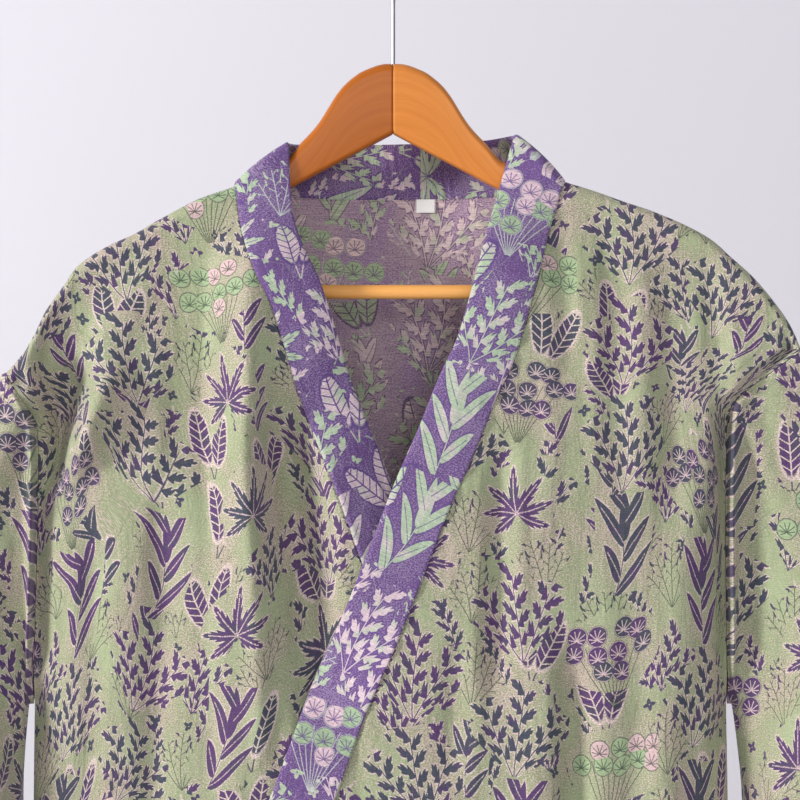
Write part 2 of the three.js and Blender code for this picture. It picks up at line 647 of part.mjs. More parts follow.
// The armhole seam as a ring: down the front's edge, round the armpit, up the
// back's edge. down runs from 0 at the shoulder to 1 at the armpit.
function armholeRing(half) {
  const front = frontGrids.get(half).map((row) => row[row.length - 1]);
  const back = backGrid.map((row) => row[half === RIGHT ? row.length - 1 : 0]);
  const used = front.filter((point) => point.z > ARMPIT_Z + RING_FOOT + RING_FOOT_CLEAR).length;
  const armpitOut = halves.get(half).edge(ARMPIT_Z);
  const foot = new THREE.Vector3(half.sign * armpitOut, SEAM_Y, ARMPIT_Z + RING_FOOT);
  const top = front[0].clone().lerp(back[0], 0.5);
  const ring = [{ point: top, down: 0, face: -1 }];
  for (let i = 1; i < used; i += 1) ring.push({ point: front[i], down: i / used, face: -1 });
  ring.push({ point: foot, down: 1, face: 1 });
  for (let i = used - 1; i > 0; i -= 1) ring.push({ point: back[i], down: i / used, face: 1 });
  return ring;
}

function sleevePoints(half) {
  const { armZ, armOut, edge } = halves.get(half);
  const ring = armholeRing(half);
  const startOut = edge(ARMPIT_Z) + UNDERARM_OUT;
  return SLEEVE_STATIONS.map((at) => ring.map(({ point: seam, down, face }, i) => {
    const slope = (edge(seam.z + EDGE_STEP) - edge(seam.z - EDGE_STEP)) / (2 * EDGE_STEP);
    const away = new THREE.Vector3(half.sign, 0, -slope).normalize();
    const gap = mix(ARM_GAP, CLOTH / 2 + ARM_GAP, below(ARMPIT_Z + ARM_GAP_EARLY, ARMPIT_TURN, seam.z));
    const begin = gap + SLEEVE_LEAD * (1 - Math.exp(-at * LEAD_RATE));
    const turned = smooth((at - TURN_START) / TURN_SHARE) * below(SEAM_TURN_Z + TURN_EARLY, SETTLE, seam.z);
    const bulge = ARMHOLE_TURN * turned * smooth((seam.z - ARMPIT_Z - RING_FOOT) / TURN_FOOT);
    const root = seam.clone().addScaledVector(away, begin);
    root.y += face * bulge;
    const top = new THREE.Vector3(half.sign * armOut(at), armY(armOut(at)), armZ(at));
    const under = new THREE.Vector3(
      half.sign * mix(startOut, half.cuff.out, at),
      SEAM_Y - UNDERARM_BACK,
      mix(ARMPIT_Z + UNDERARM_BACK, half.cuff.z, at),
    );
    const depth = (face < 0 ? SLEEVE_FRONT : SLEEVE_BACK) * mix(NARROW, 1, smooth(at / WIDEN_SHARE));
    const tube = top.clone().lerp(under, (1 - Math.cos(Math.PI * down)) / 2);
    tube.y += face * depth * Math.sin(Math.PI * down) ** FLATNESS;
    const radial = tube.clone().sub(top.clone().lerp(under, 0.5)).normalize();
    tube.addScaledVector(radial, sleeveCrease(i / ring.length) * smooth((at - CREASE_START) / CREASE_SHARE));
    return root.lerp(tube, smooth(at / TUBE_SHARE));
  }));
}

// Rise of the sleeve's long creases at one turn round the ring.
function sleeveCrease(turn) {
  return SLEEVE_FOLDS.reduce((sum, fold) => {
    const across = (turn - fold.at) / fold.half;
    return sum + fold.rise * Math.exp(-across * across);
  }, 0);
}

// The bare label hangs from the neck seam on the inside of the back.
function labelPoints() {
  const top = neckZ(LABEL.x) - SEAM_GAP;
  const inside = CLOTH / 2 + SEAM_GAP + LABEL.thickness / 2;
  return [0, 0.5, 1].map((down) => [0, 0.5, 1].map((across) => {
    const x = LABEL.x + (across - 0.5) * LABEL.width;
    const z = top - down * LABEL.height;
    return new THREE.Vector3(x, backDepth(RIGHT, x, x, z) - inside, z);
  }));
}

const bareTop = curveOf(WOOD_TOP, 'out', 'z');
const woodFoot = curveOf(WOOD_FOOT, 'out', 'z');

// Top edge of the wood: bare in the middle, then just under the cloth.
function woodTop(half, out) {
  const tipped = WOOD_TIP_DROP * smooth((out - WOOD_TIP_OUT) / WOOD_BLEND);
  const under = ridgeOf.get(half)(out) - CLOTH - NECK_SEAT - tipped;
  return mix(bareTop(out), under, smooth((out - WOOD_COVERED_OUT) / WOOD_BLEND));
}

// One section of a hanger arm: a half-round top and a softened foot.
function armSection(half, out) {
  const foot = woodFoot(out);
  const top = woodTop(half, out);
  const round = Math.sqrt(clamp((WOOD_HALF_WIDTH - out) / WOOD_RADIUS + WOOD_END));
  const radius = WOOD_RADIUS * Math.min(1, round);
  const points = ARM_TURNS.map((turn) => {
    const angle = Math.PI * turn;
    return [radius * Math.cos(angle), top - WOOD_RADIUS + radius * Math.sin(angle)];
  });
  const chamfer = WOOD_FOOT_ROUND * Math.min(1, round);
  points.push([-radius, foot + chamfer], [-radius + chamfer, foot]);
  points.push([radius - chamfer, foot], [radius, foot + chamfer]);
  return points.map(([y, z]) => new THREE.Vector3(half.sign * out, armY(out) + y, z));
}

// A closed solid through sections with the same number of points.
function loft(sections) {
  const count = sections[0].length;
  const vertices = sections.flat();
  const triangles = [];
  for (let j = 0; j < sections.length - 1; j += 1) {
    for (let i = 0; i < count; i += 1) {
      const a = j * count + i;
      const b = j * count + ((i + 1) % count);
      triangles.push(a, b, b + count, a, b + count, a + count);
    }
  }
  const last = (sections.length - 1) * count;
  for (let i = 1; i < count - 1; i += 1) {
    triangles.push(0, i + 1, i, last, last + i, last + i + 1);
  }
  return closedGeometry(vertices, triangles);
}

// The hook: a stem from the wood, a bend to the side and a round to the tip.
class HookCurve extends THREE.Curve {
  getPoint(t, target = new THREE.Vector3()) {
    const radius = RAIL_RADIUS + HOOK_WIRE;
    const middleZ = HOOK_WIRE - radius;
    const join = HOOK_JOIN;
    const arcLength = radius * (HOOK_SWEEP - join);
    const stem = new THREE.Vector3(0, 0, HOOK_BEND_Z);
    const foot = -HOOK_RISE - HOOK_GRIP;
    const stemLength = HOOK_BEND_Z - foot;
    const at = t * (stemLength + HOOK_BEND_LENGTH + arcLength);
    if (at < stemLength) return target.set(0, 0, foot + at);
    if (at < stemLength + HOOK_BEND_LENGTH) {
      const s = (at - stemLength) / HOOK_BEND_LENGTH;
      const end = new THREE.Vector3(radius * Math.cos(join), 0, middleZ + radius * Math.sin(join));
      const first = stem.clone().add(new THREE.Vector3(0, 0, HOOK_BEND_LENGTH * BEND_PULL));
      const heading = new THREE.Vector3(-Math.sin(join), 0, Math.cos(join));
      const second = end.clone().addScaledVector(heading, -HOOK_BEND_LENGTH * BEND_PULL);
      return new THREE.CubicBezierCurve3(stem, first, second, end).getPoint(s, target);
    }
    const angle = join + (at - stemLength - HOOK_BEND_LENGTH) / radius;
    return target.set(radius * Math.cos(angle), 0, middleZ + radius * Math.sin(angle));
  }
}

function rod(curve, radius, sides, steps) {
  const section = new THREE.Shape().absarc(0, 0, radius, 0, 2 * Math.PI);
  return new THREE.ExtrudeGeometry(section, {
    steps, extrudePath: curve, bevelEnabled: false, curveSegments: sides,
  });
}

const wasm = await Module();
wasm.setup();

function solidOf(geometry) {
  const bare = geometry.clone();
  bare.deleteAttribute('normal');
  bare.deleteAttribute('uv');
  const merged = mergeVertices(bare, MERGE);
  return new wasm.Manifold(new wasm.Mesh({
    numProp: 3,
    vertProperties: new Float32Array(merged.attributes.position.array),
    triVerts: new Uint32Array(merged.index.array),
  }));
}

function geometryOf(solid) {
  const { vertProperties, triVerts, numProp } = solid.getMesh();
  const positions = [];
  for (let i = 0; i < vertProperties.length; i += numProp) {
    positions.push(...vertProperties.slice(i, i + 3));
  }
  const geometry = new THREE.BufferGeometry();
  geometry.setAttribute('position', new THREE.Float32BufferAttribute(positions, 3));
  geometry.setIndex([...triVerts]);
  geometry.computeVertexNormals();
  return geometry;
}

// One arm of the hanger, bored for the hook's stem and for the bar's end.
function arm(half) {
  const body = solidOf(loft(ARM_STATIONS.map((out) => armSection(half, out))));
  const stemPath = new THREE.LineCurve3(
    new THREE.Vector3(0, 0, -HOOK_RISE - HOOK_GRIP - SEAM_GAP),
    new THREE.Vector3(0, 0, -HOOK_RISE + STEM_BORE_CLEAR),
  );
  const stem = solidOf(rod(stemPath, HOOK_WIRE + SEAM_GAP, STEM_BORE_SIDES, 1));
  const socket = solidOf(rod(barPath(BAR_END + SEAM_GAP), BAR_RADIUS + SEAM_GAP, BAR_SIDES, 1));
  return geometryOf(body.subtract(stem).subtract(socket));
}

function barPath(reach) {
  const y = armY(BAR_END);
  return new THREE.LineCurve3(new THREE.Vector3(-reach, y, BAR_Z), new THREE.Vector3(reach, y, BAR_Z));
}

const robe = new THREE.Group();
robe.name = 'kimono_robe_on_hanger';
robe.add(
  meshOf('hanger_arm_left', arm(LEFT), COLOURS.wood, 0.35, 0),
  meshOf('hanger_arm_right', arm(RIGHT), COLOURS.wood, 0.35, 0),
  meshOf('hanger_bar', rod(barPath(BAR_END), BAR_RADIUS, BAR_SIDES, 1), COLOURS.bar, 0.4, 0),
  meshOf('hanger_hook', rod(new HookCurve(), HOOK_WIRE, WIRE_SIDES, HOOK_STEPS), COLOURS.steel, 0.3, 1),
  meshOf('back', wall(backGrid, CLOTH), COLOURS.green, 0.85, 0),
  meshOf('front_under', wall(frontGrids.get(LEFT), CLOTH), COLOURS.green, 0.85, 0),
  meshOf('front_over', wall(frontGrids.get(RIGHT), CLOTH), COLOURS.green, 0.85, 0),
  meshOf('sleeve_right', wall(sleevePoints(LEFT), CLOTH, true), COLOURS.green, 0.85, 0),
  meshOf('sleeve_left', wall(sleevePoints(RIGHT), CLOTH, true), COLOURS.green, 0.85, 0),
  meshOf('collar_under', wall(bandPoints(LEFT), BAND), COLOURS.purple, 0.85, 0),
  meshOf('collar_over', wall(bandPoints(RIGHT), BAND), COLOURS.purple, 0.85, 0),
  meshOf('size_label', wall(labelPoints(), LABEL.thickness), COLOURS.label, 0.8, 0),
);

export default robe;
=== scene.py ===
"""A kimono robe on a wooden hanger, seen from the front under soft light.

Every cloth panel is a thin shell worked out from the garment's own sizes: the
shoulder line over the hanger, the seams where pieces meet, and the folds that
the cloth hangs in. Lengths are in metres, +Z is up and the front faces -Y.
The origin is the inside top of the hanger's hook.
"""

import logging
from dataclasses import dataclass
from enum import Enum
from functools import cached_property
from typing import ClassVar

import bpy
import numpy as np

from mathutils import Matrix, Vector


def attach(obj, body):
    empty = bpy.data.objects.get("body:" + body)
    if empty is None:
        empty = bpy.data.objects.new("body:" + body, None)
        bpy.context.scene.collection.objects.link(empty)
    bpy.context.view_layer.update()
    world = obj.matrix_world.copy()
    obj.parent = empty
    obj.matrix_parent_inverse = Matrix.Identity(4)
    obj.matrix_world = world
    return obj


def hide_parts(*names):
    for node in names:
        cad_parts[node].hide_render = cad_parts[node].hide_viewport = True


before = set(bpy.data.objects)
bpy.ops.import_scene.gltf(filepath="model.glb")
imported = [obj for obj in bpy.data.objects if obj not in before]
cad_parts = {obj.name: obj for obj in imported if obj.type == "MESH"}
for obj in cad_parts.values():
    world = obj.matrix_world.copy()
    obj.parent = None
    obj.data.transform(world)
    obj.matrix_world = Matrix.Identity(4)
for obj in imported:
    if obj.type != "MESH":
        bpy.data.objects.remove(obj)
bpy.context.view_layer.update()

logging.basicConfig(level=logging.INFO, format="%(message)s")
LOG = logging.getLogger("kimono")

# Cloth as the frame has it
WALL = 0.0015
BAND_WALL = 0.003
SEAM_GAP = 0.0003
JOIN_OVERLAP = 0.0002
SIDE_GAP = 0.0013
ARM_GAP = 0.0004
BAND_OVERLAP = 0.0006
HEM_Z = -1.327
SEAM_TURN_Z = -0.337
ARMPIT_Z = -0.56
SEAM_Y = -0.01
HALF_WIDTH = 0.24

# Hanger as the frame has it
WOOD_HALF_WIDTH = 0.222
WOOD_RADIUS = 0.007
WOOD_SWEEP = -0.0875
NECK_SEAT = 0.0008
RIDGE_RADIUS = WOOD_RADIUS + NECK_SEAT + WALL / 2
DROOP_RADIUS = 0.011


class Face(Enum):
    """Which way a panel of the body faces: the sign of its Y direction."""

    FRONT = -1
    BACK = 1


def smooth(value: np.ndarray) -> np.ndarray:
    """Ease from 0 to 1.

    Args:
        value: where on the ease, 0 at its start and 1 at its end.

    Returns:
        The eased value, held at 0 and 1 outside that range.
    """
    t = np.clip(value, 0.0, 1.0)
    return t * t * (3.0 - 2.0 * t)


def mix(a: np.ndarray, b: np.ndarray, t: np.ndarray) -> np.ndarray:
    """Blend two values.

    Args:
        a: the value at t = 0.
        b: the value at t = 1.
        t: the share of b.

    Returns:
        The blended value.
    """
    return a + (b - a) * t


class Curve:
    """A smooth curve through given points, held level past both ends."""

    def __init__(self, points: list[tuple[float, float]]) -> None:
        """Keep the points in order and the slope at each.

        Args:
            points: rows of (place, value).
        """
        rows = np.array(sorted(points))
        self.at, self.value = rows[:, 0], rows[:, 1]
        last = len(rows) - 1
        after = np.minimum(np.arange(last + 1) + 1, last)
        before = np.maximum(np.arange(last + 1) - 1, 0)
        rise = self.value[after] - self.value[before]
        self.slope = rise / (self.at[after] - self.at[before])

    def __call__(self, at: np.ndarray) -> np.ndarray:
        """Read the curve.

        Args:
            at: the places to read it at.

        Returns:
            The cubic blend of the two neighbouring points and their slopes.
        """
        held = np.clip(at, self.at[0], self.at[-1])
        i = np.clip(np.searchsorted(self.at, held, side="left") - 1, 0, len(self.at) - 2)
        span = self.at[i + 1] - self.at[i]
        t = (held - self.at[i]) / span
        rise = self.value[i + 1] - self.value[i]
        start = self.slope[i] * span - rise
        end = rise - self.slope[i + 1] * span
        return self.value[i] + rise * t + t * (1 - t) * (start * (1 - t) + end * t)


@dataclass(frozen=True)
class Fold:
    """A soft ridge from (x, z) down to (to_x, to_z); a trough's rise is negative."""

    x: float
    z: float
    to_x: float
    to_z: float
    rise: float
    half: float
    sway: float = 0.0


def fold_rise(folds: tuple[Fold, ...], x: np.ndarray, z: np.ndarray) -> np.ndarray:
    """Add up the folds of a panel.

    Each fold is a bell across its middle line, faded in and out at its ends.
    Its middle line sways a little from side to side on the way down.

    Args:
        folds: the folds to add.
        x: places across the panel.
        z: heights on the panel.

    Returns:
        How far the cloth stands out at each place.
    """
    total = np.zeros(np.broadcast(x, z).shape)
    for fold in folds:
        along = (z - fold.z) / (fold.to_z - fold.z)
        middle = mix(fold.x, fold.to_x, np.clip(along, 0, 1))
        middle = middle + fold.sway * np.sin(2 * np.pi * along + 40 * fold.x)
        across = (x - middle) / fold.half
        ends = smooth((along + 0.12) / 0.3) * smooth((1.12 - along) / 0.3)
        total = total + fold.rise * np.exp(-across * across) * ends
    return total


@dataclass(frozen=True)
class Half:
    """The given lines of one half of the robe, each a table of points.

    shoulder is (out, z), groove, edge are (z, out), arm_top is (share of the
    sleeve, out, z), seam is (z, x), neck is (x, y, z, free x, free y, free z).
    """

    sign: int
    neck_out: float
    band_width: float
    tilt: float
    cuff: tuple[float, float]
    shoulder: tuple
    groove: tuple
    edge: tuple
    arm_top: tuple
    seam: tuple
    neck: tuple

    @cached_property
    def ridge_curve(self) -> Curve:
        """Height of the cloth's shoulder line against the distance out."""
        return Curve(self.shoulder)

    @cached_property
    def groove_curve(self) -> Curve:
        """Distance out of the crease beside the arm fold, against height."""
        return Curve(self.groove)

    @cached_property
    def edge_curve(self) -> Curve:
        """Distance out of the panels' side edge, against height."""
        return Curve(self.edge)

    @cached_property
    def seam_curve(self) -> Curve:
        """Place of the collar seam on the front, against height."""
        return Curve(self.seam)

    @cached_property
    def arm_out(self) -> Curve:
        """Distance out of the sleeve's upper fold along the sleeve."""
        return Curve([(row[0], row[1]) for row in self.arm_top])

    @cached_property
    def arm_z(self) -> Curve:
        """Height of the sleeve's upper fold along the sleeve."""
        return Curve([(row[0], row[2]) for row in self.arm_top])

    def ridge_z(self, out: np.ndarray) -> np.ndarray:
        """Height of the middle of the cloth on the shoulder line, at a distance out."""
        return self.ridge_curve(out) - WALL / 2


RIGHT = Half(
    sign=1,
    neck_out=0.121,
    band_width=0.042,
    tilt=0,
    cuff=(0.256, -0.704),
    shoulder=(
        (0.078, -0.162), (0.121, -0.177), (0.143, -0.184), (0.162, -0.191), (0.185, -0.199),
        (0.21, -0.21), (0.227, -0.22), (0.239, -0.231), (0.255, -0.246), (0.27, -0.265),
        (0.28, -0.281), (0.287, -0.298),
    ),
    groove=(
        (-0.228, 0.228), (-0.26, 0.2306), (-0.308, 0.2354), (-0.34, 0.237),
    ),
    edge=(
        (-0.298, 0.287), (-0.312, 0.268), (-0.326, 0.25), (-0.337, 0.2395), (-0.352, 0.237),
        (-0.45, 0.2365), (-0.56, 0.238), (-0.9, 0.243), (-1.327, 0.247),
    ),
    arm_top=(
        (0, 0.287, -0.298), (0.04, 0.293, -0.309), (0.2, 0.318, -0.36), (0.38, 0.338, -0.42),
        (0.6, 0.352, -0.5), (0.82, 0.36, -0.58), (1, 0.365, -0.646),
    ),
    seam=(
        (-0.14, 0.131), (-0.177, 0.121), (-0.2, 0.1143), (-0.216, 0.1093), (-0.2605, 0.0972),
        (-0.305, 0.0842), (-0.334, 0.0708), (-0.37, 0.0564), (-0.406, 0.0406), (-0.4445, 0.0255),
        (-0.508, 0.0007), (-0.552, -0.0187), (-0.622, -0.0448), (-0.76, -0.1), (-0.88, -0.147),
        (-0.96, -0.168), (-1.04, -0.175), (-1.327, -0.175),
    ),
    neck=(
        (0.0213, 0.0306, -0.187, 0.0213, 0.034, -0.146),
        (0.04, 0.03, -0.1865, 0.039, 0.0328, -0.1456),
        (0.06, 0.028, -0.1858, 0.056, 0.0295, -0.145),
        (0.076, 0.0245, -0.185, 0.068, 0.024, -0.1446),
        (0.09, 0.0185, -0.1834, 0.0765, 0.016, -0.1442),
        (0.101, 0.012, -0.1816, 0.082, 0.008, -0.144),
        (0.11, 0.005, -0.1798, 0.0855, 0.001, -0.1442),
        (0.116, -0.001, -0.1788, 0.087, -0.005, -0.1444),
        (0.1194, -0.006, -0.1782, 0.0873, -0.0095, -0.1447),
        (0.121, -0.0106, -0.17775, 0.0865, -0.013, -0.145),
    ),
)
LEFT = Half(
    sign=-1,
    neck_out=0.112,
    band_width=0.037,
    tilt=0.012,
    cuff=(0.268, -0.708),
    shoulder=(
        (0.078, -0.164), (0.112, -0.18), (0.139, -0.19), (0.167, -0.205), (0.184, -0.215),
        (0.205, -0.225), (0.225, -0.239), (0.233, -0.251), (0.245, -0.269), (0.253, -0.287),
        (0.261, -0.301), (0.272, -0.314),
    ),
    groove=(
        (-0.239, 0.226), (-0.283, 0.2455), (-0.305, 0.2506), (-0.355, 0.2527),
    ),
    edge=(
        (-0.314, 0.272), (-0.328, 0.264), (-0.34, 0.257), (-0.352, 0.253), (-0.391, 0.252),
        (-0.56, 0.256), (-0.9, 0.258), (-1.327, 0.26),
    ),
    arm_top=(
        (0, 0.272, -0.314), (0.04, 0.282, -0.325), (0.2, 0.306, -0.374), (0.38, 0.327, -0.432),
        (0.6, 0.343, -0.51), (0.82, 0.354, -0.588), (1, 0.361, -0.654),
    ),
    seam=(
        (-0.14, -0.12), (-0.18, -0.112), (-0.212, -0.107), (-0.242, -0.097), (-0.262, -0.087),
        (-0.287, -0.0786), (-0.334, -0.0644), (-0.4, -0.0385), (-0.447, -0.0214),
        (-0.622, 0.045), (-0.76, 0.097), (-0.88, 0.139), (-0.96, 0.153), (-1.04, 0.158),
        (-1.327, 0.158),
    ),
    neck=(
        (0.0207, 0.0306, -0.187, 0.0207, 0.034, -0.146),
        (0, 0.031, -0.1875, 0.001, 0.0345, -0.1464),
        (-0.022, 0.0306, -0.1875, -0.02, 0.0335, -0.147),
        (-0.044, 0.0286, -0.1872, -0.039, 0.0305, -0.1476),
        (-0.064, 0.025, -0.1866, -0.055, 0.025, -0.1484),
        (-0.08, 0.019, -0.1856, -0.0645, 0.017, -0.1492),
        (-0.092, 0.012, -0.1842, -0.07, 0.009, -0.15),
        (-0.101, 0.0055, -0.1828, -0.073, 0.002, -0.1505),
        (-0.1074, -0.0005, -0.1817, -0.0745, -0.0045, -0.1508),
        (-0.1106, -0.0054, -0.1812, -0.0748, -0.0095, -0.151),
        (-0.112, -0.0098, -0.18075, -0.0745, -0.0125, -0.1512),
    ),
)
FRONT_FOLDS = (
    Fold(-0.113, -0.195, -0.102, -0.445, 0.006, 0.015),
    Fold(-0.086, -0.335, -0.058, -0.51, -0.006, 0.021),
    Fold(-0.058, -0.35, -0.026, -0.44, 0.004, 0.011),
    Fold(-0.15, -0.205, -0.14, -0.39, -0.005, 0.024),
    Fold(-0.176, -0.23, -0.224, -0.385, 0.007, 0.015),
    Fold(-0.238, -0.29, -0.232, -0.4, -0.005, 0.014),
    Fold(-0.19, -0.42, -0.205, -0.76, 0.005, 0.028),
    Fold(0.12, -0.195, 0.125, -0.32, -0.004, 0.01),
    Fold(0.149, -0.19, 0.153, -0.33, -0.0035, 0.009),
    Fold(0.172, -0.21, 0.176, -0.4, 0.0035, 0.013),
    Fold(0.078, -0.365, 0.07, -0.54, -0.005, 0.011),
    Fold(0.046, -0.5, 0.04, -0.6, -0.0035, 0.009),
    Fold(0.104, -0.5, 0.1, -0.86, 0.005, 0.016),
    Fold(0.124, -0.505, 0.128, -0.9, -0.006, 0.015),
    Fold(0.196, -0.42, 0.192, -0.68, 0.005, 0.017),
    Fold(-0.15, -0.64, -0.168, -1.42, -0.008, 0.034),
    Fold(-0.092, -0.7, -0.098, -1.42, 0.008, 0.034),
    Fold(0.03, -0.72, 0.024, -1.42, -0.008, 0.032),
    Fold(0.088, -0.76, 0.084, -1.42, 0.008, 0.034),
    Fold(0.19, -0.7, 0.2, -1.42, -0.007, 0.03),
)
BACK_FOLDS = (
    Fold(-0.196, -0.23, -0.21, -0.7, -0.007, 0.026),
    Fold(-0.128, -0.26, -0.14, -1.42, 0.008, 0.034),
    Fold(-0.052, -0.42, -0.06, -1.42, -0.009, 0.038),
    Fold(0.024, -0.33, 0.03, -1.42, 0.008, 0.034),
    Fold(0.104, -0.3, 0.112, -1.1, -0.008, 0.034),
    Fold(0.178, -0.23, 0.19, -1.42, 0.008, 0.03),
)
WOOD_TOP = (
    (0, -0.092), (0.008, -0.0925), (0.017, -0.0955), (0.0265, -0.1005), (0.0386, -0.112),
    (0.054, -0.136), (0.0675, -0.151), (0.078, -0.1615),
)
WOOD_FOOT = (
    (0, -0.1424), (0.073, -0.1818), (0.15, -0.2234), (0.186, -0.245), (0.204, -0.261),
    (0.222, -0.266),
)

# Finer creases of the cloth, narrower than the frame's folds
FRONT_CREASES = (
    Fold(-0.1, -0.31, -0.093, -0.59, 0.0095, 0.0105, 0.001),
    Fold(-0.077, -0.34, -0.053, -0.56, -0.017, 0.02, 0.001),
    Fold(-0.116, -0.3, -0.112, -0.62, 0.005, 0.014, 0.003),
    Fold(-0.166, -0.4, -0.164, -0.7, -0.008, 0.014, 0.003),
    Fold(-0.208, -0.44, -0.218, -0.68, -0.007, 0.012, 0.002),
    Fold(-0.1, -0.2, -0.093, -0.35, 0.0075, 0.012, 0.0),
    Fold(-0.132, -0.22, -0.131, -0.42, -0.006, 0.0095, 0.001),
    Fold(-0.224, -0.31, -0.247, -0.395, -0.017, 0.016, 0.0),
    Fold(-0.192, -0.31, -0.236, -0.4, 0.013, 0.0115, 0.0),
    Fold(0.1, -0.62, 0.104, -0.95, 0.004, 0.014, 0.003),
    Fold(0.192, -0.3, 0.198, -0.62, -0.004, 0.012, 0.002),
    Fold(-0.102, -0.25, -0.1, -0.5, 0.004, 0.01, 0.002),
    Fold(-0.048, -0.36, -0.034, -0.47, 0.003, 0.007, 0.001),
    Fold(-0.196, -0.25, -0.226, -0.38, 0.003, 0.01, 0.002),
    Fold(-0.252, -0.27, -0.236, -0.42, -0.004, 0.012, 0.001),
    Fold(-0.145, -0.22, -0.148, -0.4, -0.003, 0.013, 0.003),
    Fold(-0.205, -0.46, -0.222, -0.7, 0.004, 0.014, 0.003),
    Fold(0.158, -0.22, 0.162, -0.4, -0.003, 0.009, 0.002),
    Fold(0.075, -0.37, 0.072, -0.54, -0.0035, 0.009, 0.002),
    Fold(0.125, -0.5, 0.128, -0.8, -0.004, 0.01, 0.002),
    Fold(0.228, -0.4, 0.226, -0.66, -0.004, 0.01, 0.001),
    Fold(0.198, -0.42, 0.196, -0.72, 0.003, 0.012, 0.002),
    Fold(-0.118, -0.2, -0.121, -0.33, 0.0016, 0.005, 0.002),
    Fold(-0.097, -0.245, -0.092, -0.36, -0.0018, 0.006, 0.002),
    Fold(-0.128, -0.36, -0.131, -0.6, -0.0016, 0.008, 0.003),
    Fold(-0.075, -0.46, -0.07, -0.66, 0.0022, 0.007, 0.002),
    Fold(-0.04, -0.46, -0.02, -0.62, -0.0018, 0.006, 0.002),
    Fold(-0.168, -0.3, -0.174, -0.47, 0.0015, 0.007, 0.003),
    Fold(-0.205, -0.27, -0.212, -0.36, 0.002, 0.006, 0.001),
    Fold(-0.222, -0.4, -0.226, -0.6, 0.0022, 0.009, 0.002),
    Fold(-0.16, -0.5, -0.158, -0.75, 0.0026, 0.012, 0.003),
    Fold(-0.19, -0.56, -0.196, -0.9, -0.0024, 0.01, 0.003),
    Fold(-0.1, -0.62, -0.108, -0.95, -0.0024, 0.01, 0.003),
    Fold(-0.02, -0.7, -0.03, -1.3, 0.0026, 0.012, 0.004),
    Fold(0.128, -0.19, 0.132, -0.3, 0.0016, 0.005, 0.001),
    Fold(0.141, -0.205, 0.143, -0.38, 0.0014, 0.005, 0.002),
    Fold(0.162, -0.21, 0.166, -0.33, -0.0016, 0.006, 0.001),
    Fold(0.192, -0.25, 0.2, -0.42, -0.0018, 0.007, 0.002),
    Fold(0.214, -0.24, 0.219, -0.35, 0.0018, 0.006, 0.001),
    Fold(0.112, -0.3, 0.106, -0.44, 0.0016, 0.007, 0.003),
    Fold(0.09, -0.36, 0.086, -0.5, 0.002, 0.006, 0.002),
    Fold(0.061, -0.43, 0.056, -0.6, 0.0018, 0.006, 0.002),
    Fold(0.148, -0.44, 0.15, -0.66, 0.0016, 0.008, 0.003),
    Fold(0.111, -0.52, 0.112, -0.72, 0.0028, 0.005, 0.001),
    Fold(0.17, -0.5, 0.168, -0.8, -0.0024, 0.009, 0.003),
    Fold(0.213, -0.52, 0.21, -0.82, -0.002, 0.008, 0.002),
    Fold(0.06, -0.66, 0.052, -1.25, 0.0026, 0.012, 0.004),
    Fold(0.14, -0.85, 0.146, -1.38, -0.003, 0.012, 0.003),
    Fold(-0.06, -0.95, -0.07, -1.38, -0.0028, 0.012, 0.003),
    Fold(-0.2, -0.9, -0.21, -1.38, 0.003, 0.013, 0.003),
)
BACK_CREASES = (
    Fold(-0.17, -0.26, -0.178, -0.5, 0.0049, 0.009, 0.003),
    Fold(-0.105, -0.24, -0.11, -0.43, -0.0042, 0.008, 0.003),
    Fold(-0.085, -0.34, -0.09, -0.8, 0.0049, 0.01, 0.004),
    Fold(-0.02, -0.27, -0.026, -0.52, -0.0046, 0.009, 0.003),
    Fold(0.052, -0.24, 0.05, -0.42, 0.0042, 0.009, 0.003),
    Fold(0.07, -0.42, 0.074, -0.9, -0.0053, 0.011, 0.004),
    Fold(0.14, -0.28, 0.146, -0.6, 0.0046, 0.009, 0.003),
    Fold(0.21, -0.3, 0.216, -0.6, -0.0046, 0.009, 0.002),
    Fold(-0.22, -0.62, -0.226, -1.1, 0.0053, 0.011, 0.003),
    Fold(0.0, -0.7, -0.008, -1.38, 0.0057, 0.013, 0.004),
    Fold(-0.16, -0.8, -0.17, -1.38, -0.0057, 0.012, 0.004),
    Fold(0.15, -0.8, 0.158, -1.38, -0.0057, 0.012, 0.004),
)

# Long creases of a sleeve: turn round the ring, rise, half width, lean
SLEEVE_CREASES = (
    (0.12, -0.007, 0.035, 0.01), (0.22, 0.006, 0.04, 0.015), (0.33, 0.004, 0.05, -0.01),
    (0.45, -0.012, 0.05, 0.0), (0.58, -0.007, 0.035, 0.01), (0.7, 0.007, 0.04, -0.015),
    (0.83, -0.007, 0.04, 0.01), (0.08, 0.0016, 0.01, 0.02), (0.165, -0.0018, 0.01, 0.02),
    (0.265, 0.0018, 0.011, -0.02), (0.375, 0.002, 0.01, 0.02), (0.64, 0.0018, 0.011, 0.02),
    (0.76, -0.0018, 0.01, -0.02), (0.9, 0.0018, 0.011, 0.02),
)

NECK_ROWS = LEFT.neck + RIGHT.neck
NECK_Y = Curve([(row[0], row[1]) for row in NECK_ROWS])
NECK_Z = Curve([(row[0], row[2]) for row in NECK_ROWS])
FREE_EDGE = [Curve([(row[0], row[column]) for row in NECK_ROWS]) for column in (3, 4, 5)]


